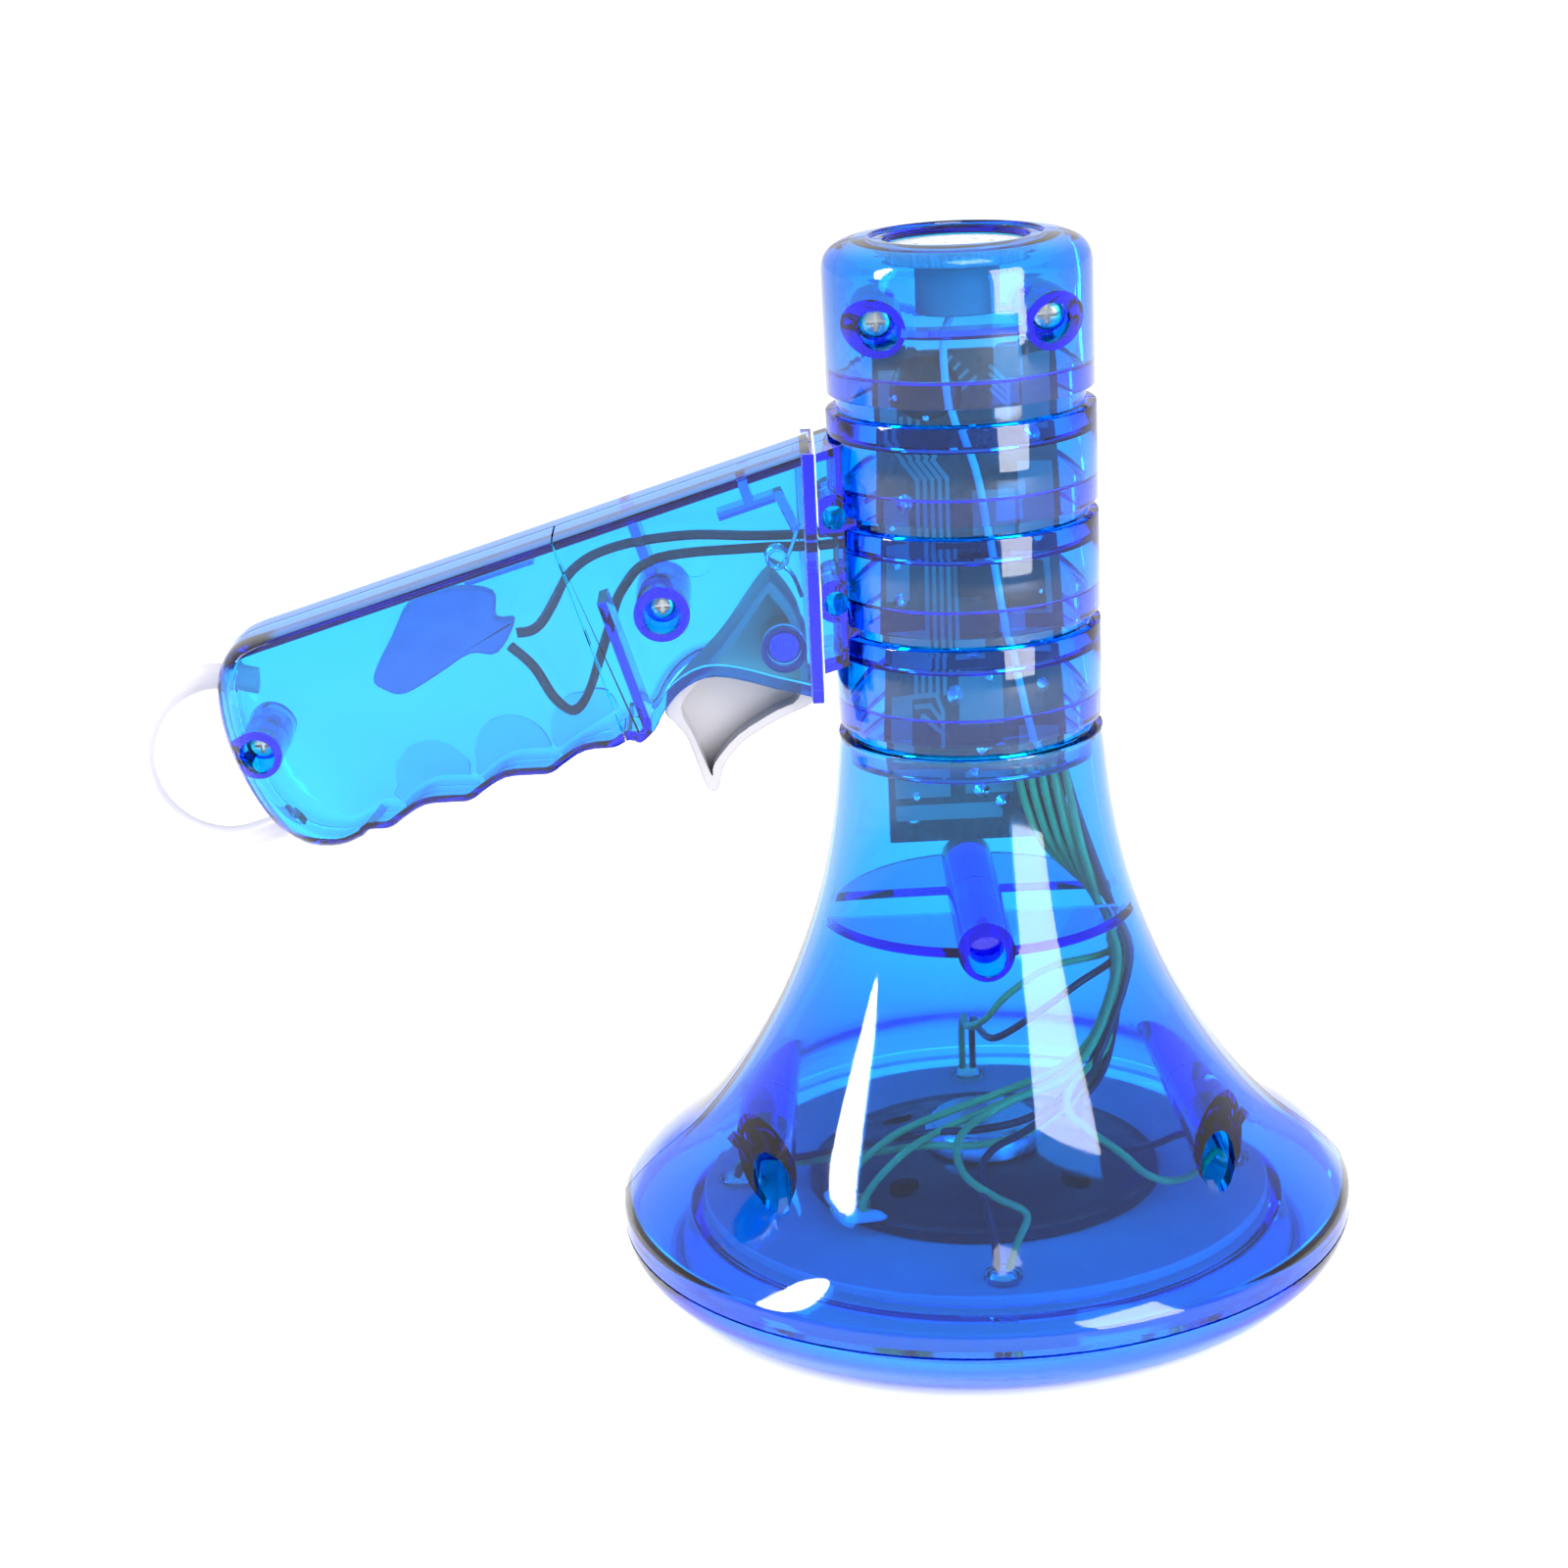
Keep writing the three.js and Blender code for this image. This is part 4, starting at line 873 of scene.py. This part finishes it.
# ---------------------------------------------------------------- battery clip and wires
clip = smooth_line([uv(*q) for q in (
    (55.7, 6.7), (61.7, 4.0), (68.5, 4.3), (73.6, 8.8), (78.1, 13.3), (77, 15.8), (74.2, 17.2),
    (68.0, 15.9), (62.4, 14.5), (58.3, 15.7), (54, 11.9), (56.6, 10.6))], 4, closed=True)
piece("clip", slab([(v.x, v.y) for v in clip], -1.0, 3.0, 0.7), CLIP, replaces=["battery_clip"],
      angle=50)


def wire(name, points, radius, mat, sides=12):
    piece(name, tube(points, radius, sides, 6), WIRES[mat], replaces=[name_node[name]],
          angle=60)


name_node = {"lead_red": "battery_wire_red", "lead_black": "battery_wire_black", "lead_mic": "mic_wire"}
run = [(-62.0, 2.4, 117.5), (-55.0, 4.0, 120.6), (-44.0, 4.0, 121.9), (-33.0, 4.0, 121.3),
       (-24.0, 4.0, 121.2), (-18.0, 3.6, 121.6), (-12.0, 1.1, 121.6)]


def battery_run(dz, start=0):
    return [(x, y, z + dz) for x, y, z in run[start:]]


wire("lead_red", [(-71.5, 1.0, 109.4), (-67.8, 1.4, 110.6)] + battery_run(1.0), 0.8, "wire_red", 14)
wire("lead_black", [(-72.7, 1.0, 107.4), (-69.4, 1.8, 103.8), (-66.6, 2.8, 98.4), (-63.6, 3.0, 96.6),
                    (-60.2, 3.4, 100.0), (-57.0, 4.0, 108.0), (-54.4, 4.0, 114.6),
                    (-48.6, 4.0, 119.4)] + battery_run(-1.0, 3), 0.8, "wire_black", 14)
wire("lead_mic", [(-1.0, -2.0, 158.0), (-2.6, -3.2, 153.0), (-1.6, -3.5, 142.0), (2.2, -3.5, 131.0),
                  (3.8, -3.5, 120.0), (6.2, -3.5, 105.6), (9.3, -3.5, 91.0), (10.7, -3.3, 86.9)],
     0.62, "wire_blue")
PITCH = 1.85
bundle_turns = [(10.5, -3.7, 85, 0), (12.0, -4.6, 78, 20), (14.4, -5.7, 71, 45)]


def bundle(column, side):
    c, r = (column - 2) * PITCH, -side * PITCH / 2
    out = []
    for x, y, z, turn in bundle_turns:
        a = math.radians(turn)
        out.append((x - c * math.cos(a) - r * math.sin(a), y + c * math.sin(a) - r * math.cos(a), z))
    return out + [(20.3 - r, -1.5 + c, 60.6), (23.4 - r, c - 0.4, 51)]


ROUTES = {
    "speaker_plus": (1, -1, "wire_green", [
        (18.2, -7.5, 40), (11.9, -13.0, 36.0), (3.8, -15.0, 33.5), (-7.0, -17.9, 31.0),
        (-14.8, -18.5, 28.0), (-21.4, -19.6, 23), (-24.0, -19.2, 18.0)]),
    "speaker_minus": (1, 1, "wire_green", [
        (18.8, -6.0, 38), (11.8, -12.5, 34.0), (0.9, -18.1, 31.8), (-10.8, -21.4, 28),
        (-17.0, -23.0, 23.5), (-20.4, -23.4, 19.0), (-20.6, -23.2, 16.2)]),
    "led_left_minus": (2, 1, "wire_black", [
        (18.6, -7.8, 37), (13.0, -15.0, 32.5), (5.8, -20.5, 30.5), (-2.1, -22.4, 29.8),
        (-9.6, -19.8, 28.5), (-22.5, -11.5, 23), (-31.8, -4.6, 18.5), (-39.0, -0.95, 17.0),
        (-41, -0.95, 14.0)]),
    "led_left_plus": (2, -1, "wire_green", [
        (21.0, -4.7, 37), (15.3, -13.1, 31.5), (6.3, -21.7, 29.0), (-2.1, -24.4, 28.0),
        (-11.2, -20.4, 26.5), (-22.5, -9.4, 20.5), (-31.1, -2.7, 17), (-39.0, 0.95, 16.6),
        (-41, 0.95, 14.0)]),
    "led_far_minus": (3, 1, "wire_black", [
        (15.6, -3.8, 46.5), (8.0, -3.7, 41), (2.6, 0.7, 36), (0.9, 14.2, 32), (0.95, 32, 27),
        (0.95, 40.2, 22), (0.95, 41, 14.0)]),
    "led_far_plus": (3, -1, "wire_green", [
        (12.0, -1.3, 49.0), (4.9, 1.0, 43.5), (1.2, 5.3, 37.5), (-1.2, 16.4, 32), (-0.95, 32, 27.6),
        (-0.95, 40.2, 22), (-0.95, 41, 14.0)]),
    "led_near_plus": (0, -1, "wire_green", [
        (18.2, -10.0, 40), (11.8, -16.8, 35.5), (3.5, -21.1, 34), (-3.6, -26.8, 32.5),
        (-6.0, -31.5, 30.8), (-5.0, -36.0, 28), (-0.6, -38.0, 25), (4.0, -38.2, 22),
        (2.4, -40.6, 18.4), (0.95, -41, 14.0)]),
    "led_near_minus": (0, 1, "wire_black", [
        (17.8, -11.4, 36), (11.3, -20.4, 32.5), (5.0, -26.6, 31), (-0.4, -31.3, 30.2),
        (-2.6, -34.9, 28), (-2.2, -38.4, 24.5), (-1.2, -40.6, 19.5), (-0.95, -41, 14.0)]),
    "led_right_plus": (4, -1, "wire_green", [
        (20.6, -6.4, 38), (13.5, -16.3, 34.5), (12.1, -21.4, 32), (14.9, -25.0, 30),
        (19.7, -28.2, 27), (23.0, -29.4, 24), (27.0, -27.6, 21.5), (31.8, -20.1, 19),
        (37.5, -9.7, 18), (41, -0.95, 14.0)]),
    "led_right_minus": (4, 1, "wire_black", [
        (20.0, -8.6, 35.5), (14.6, -17.6, 31.5), (14.0, -24.6, 29.4), (18.6, -26.3, 27),
        (24.7, -20.3, 24.5), (31.3, -10.3, 22), (37.5, -2.1, 19), (41, 0.95, 14.0)]),
}
for to, (column, side, mat, path) in ROUTES.items():
    name_node["lead_" + to] = "wire_" + to
    wire("lead_" + to, bundle(column, side) + path, 0.62, mat)
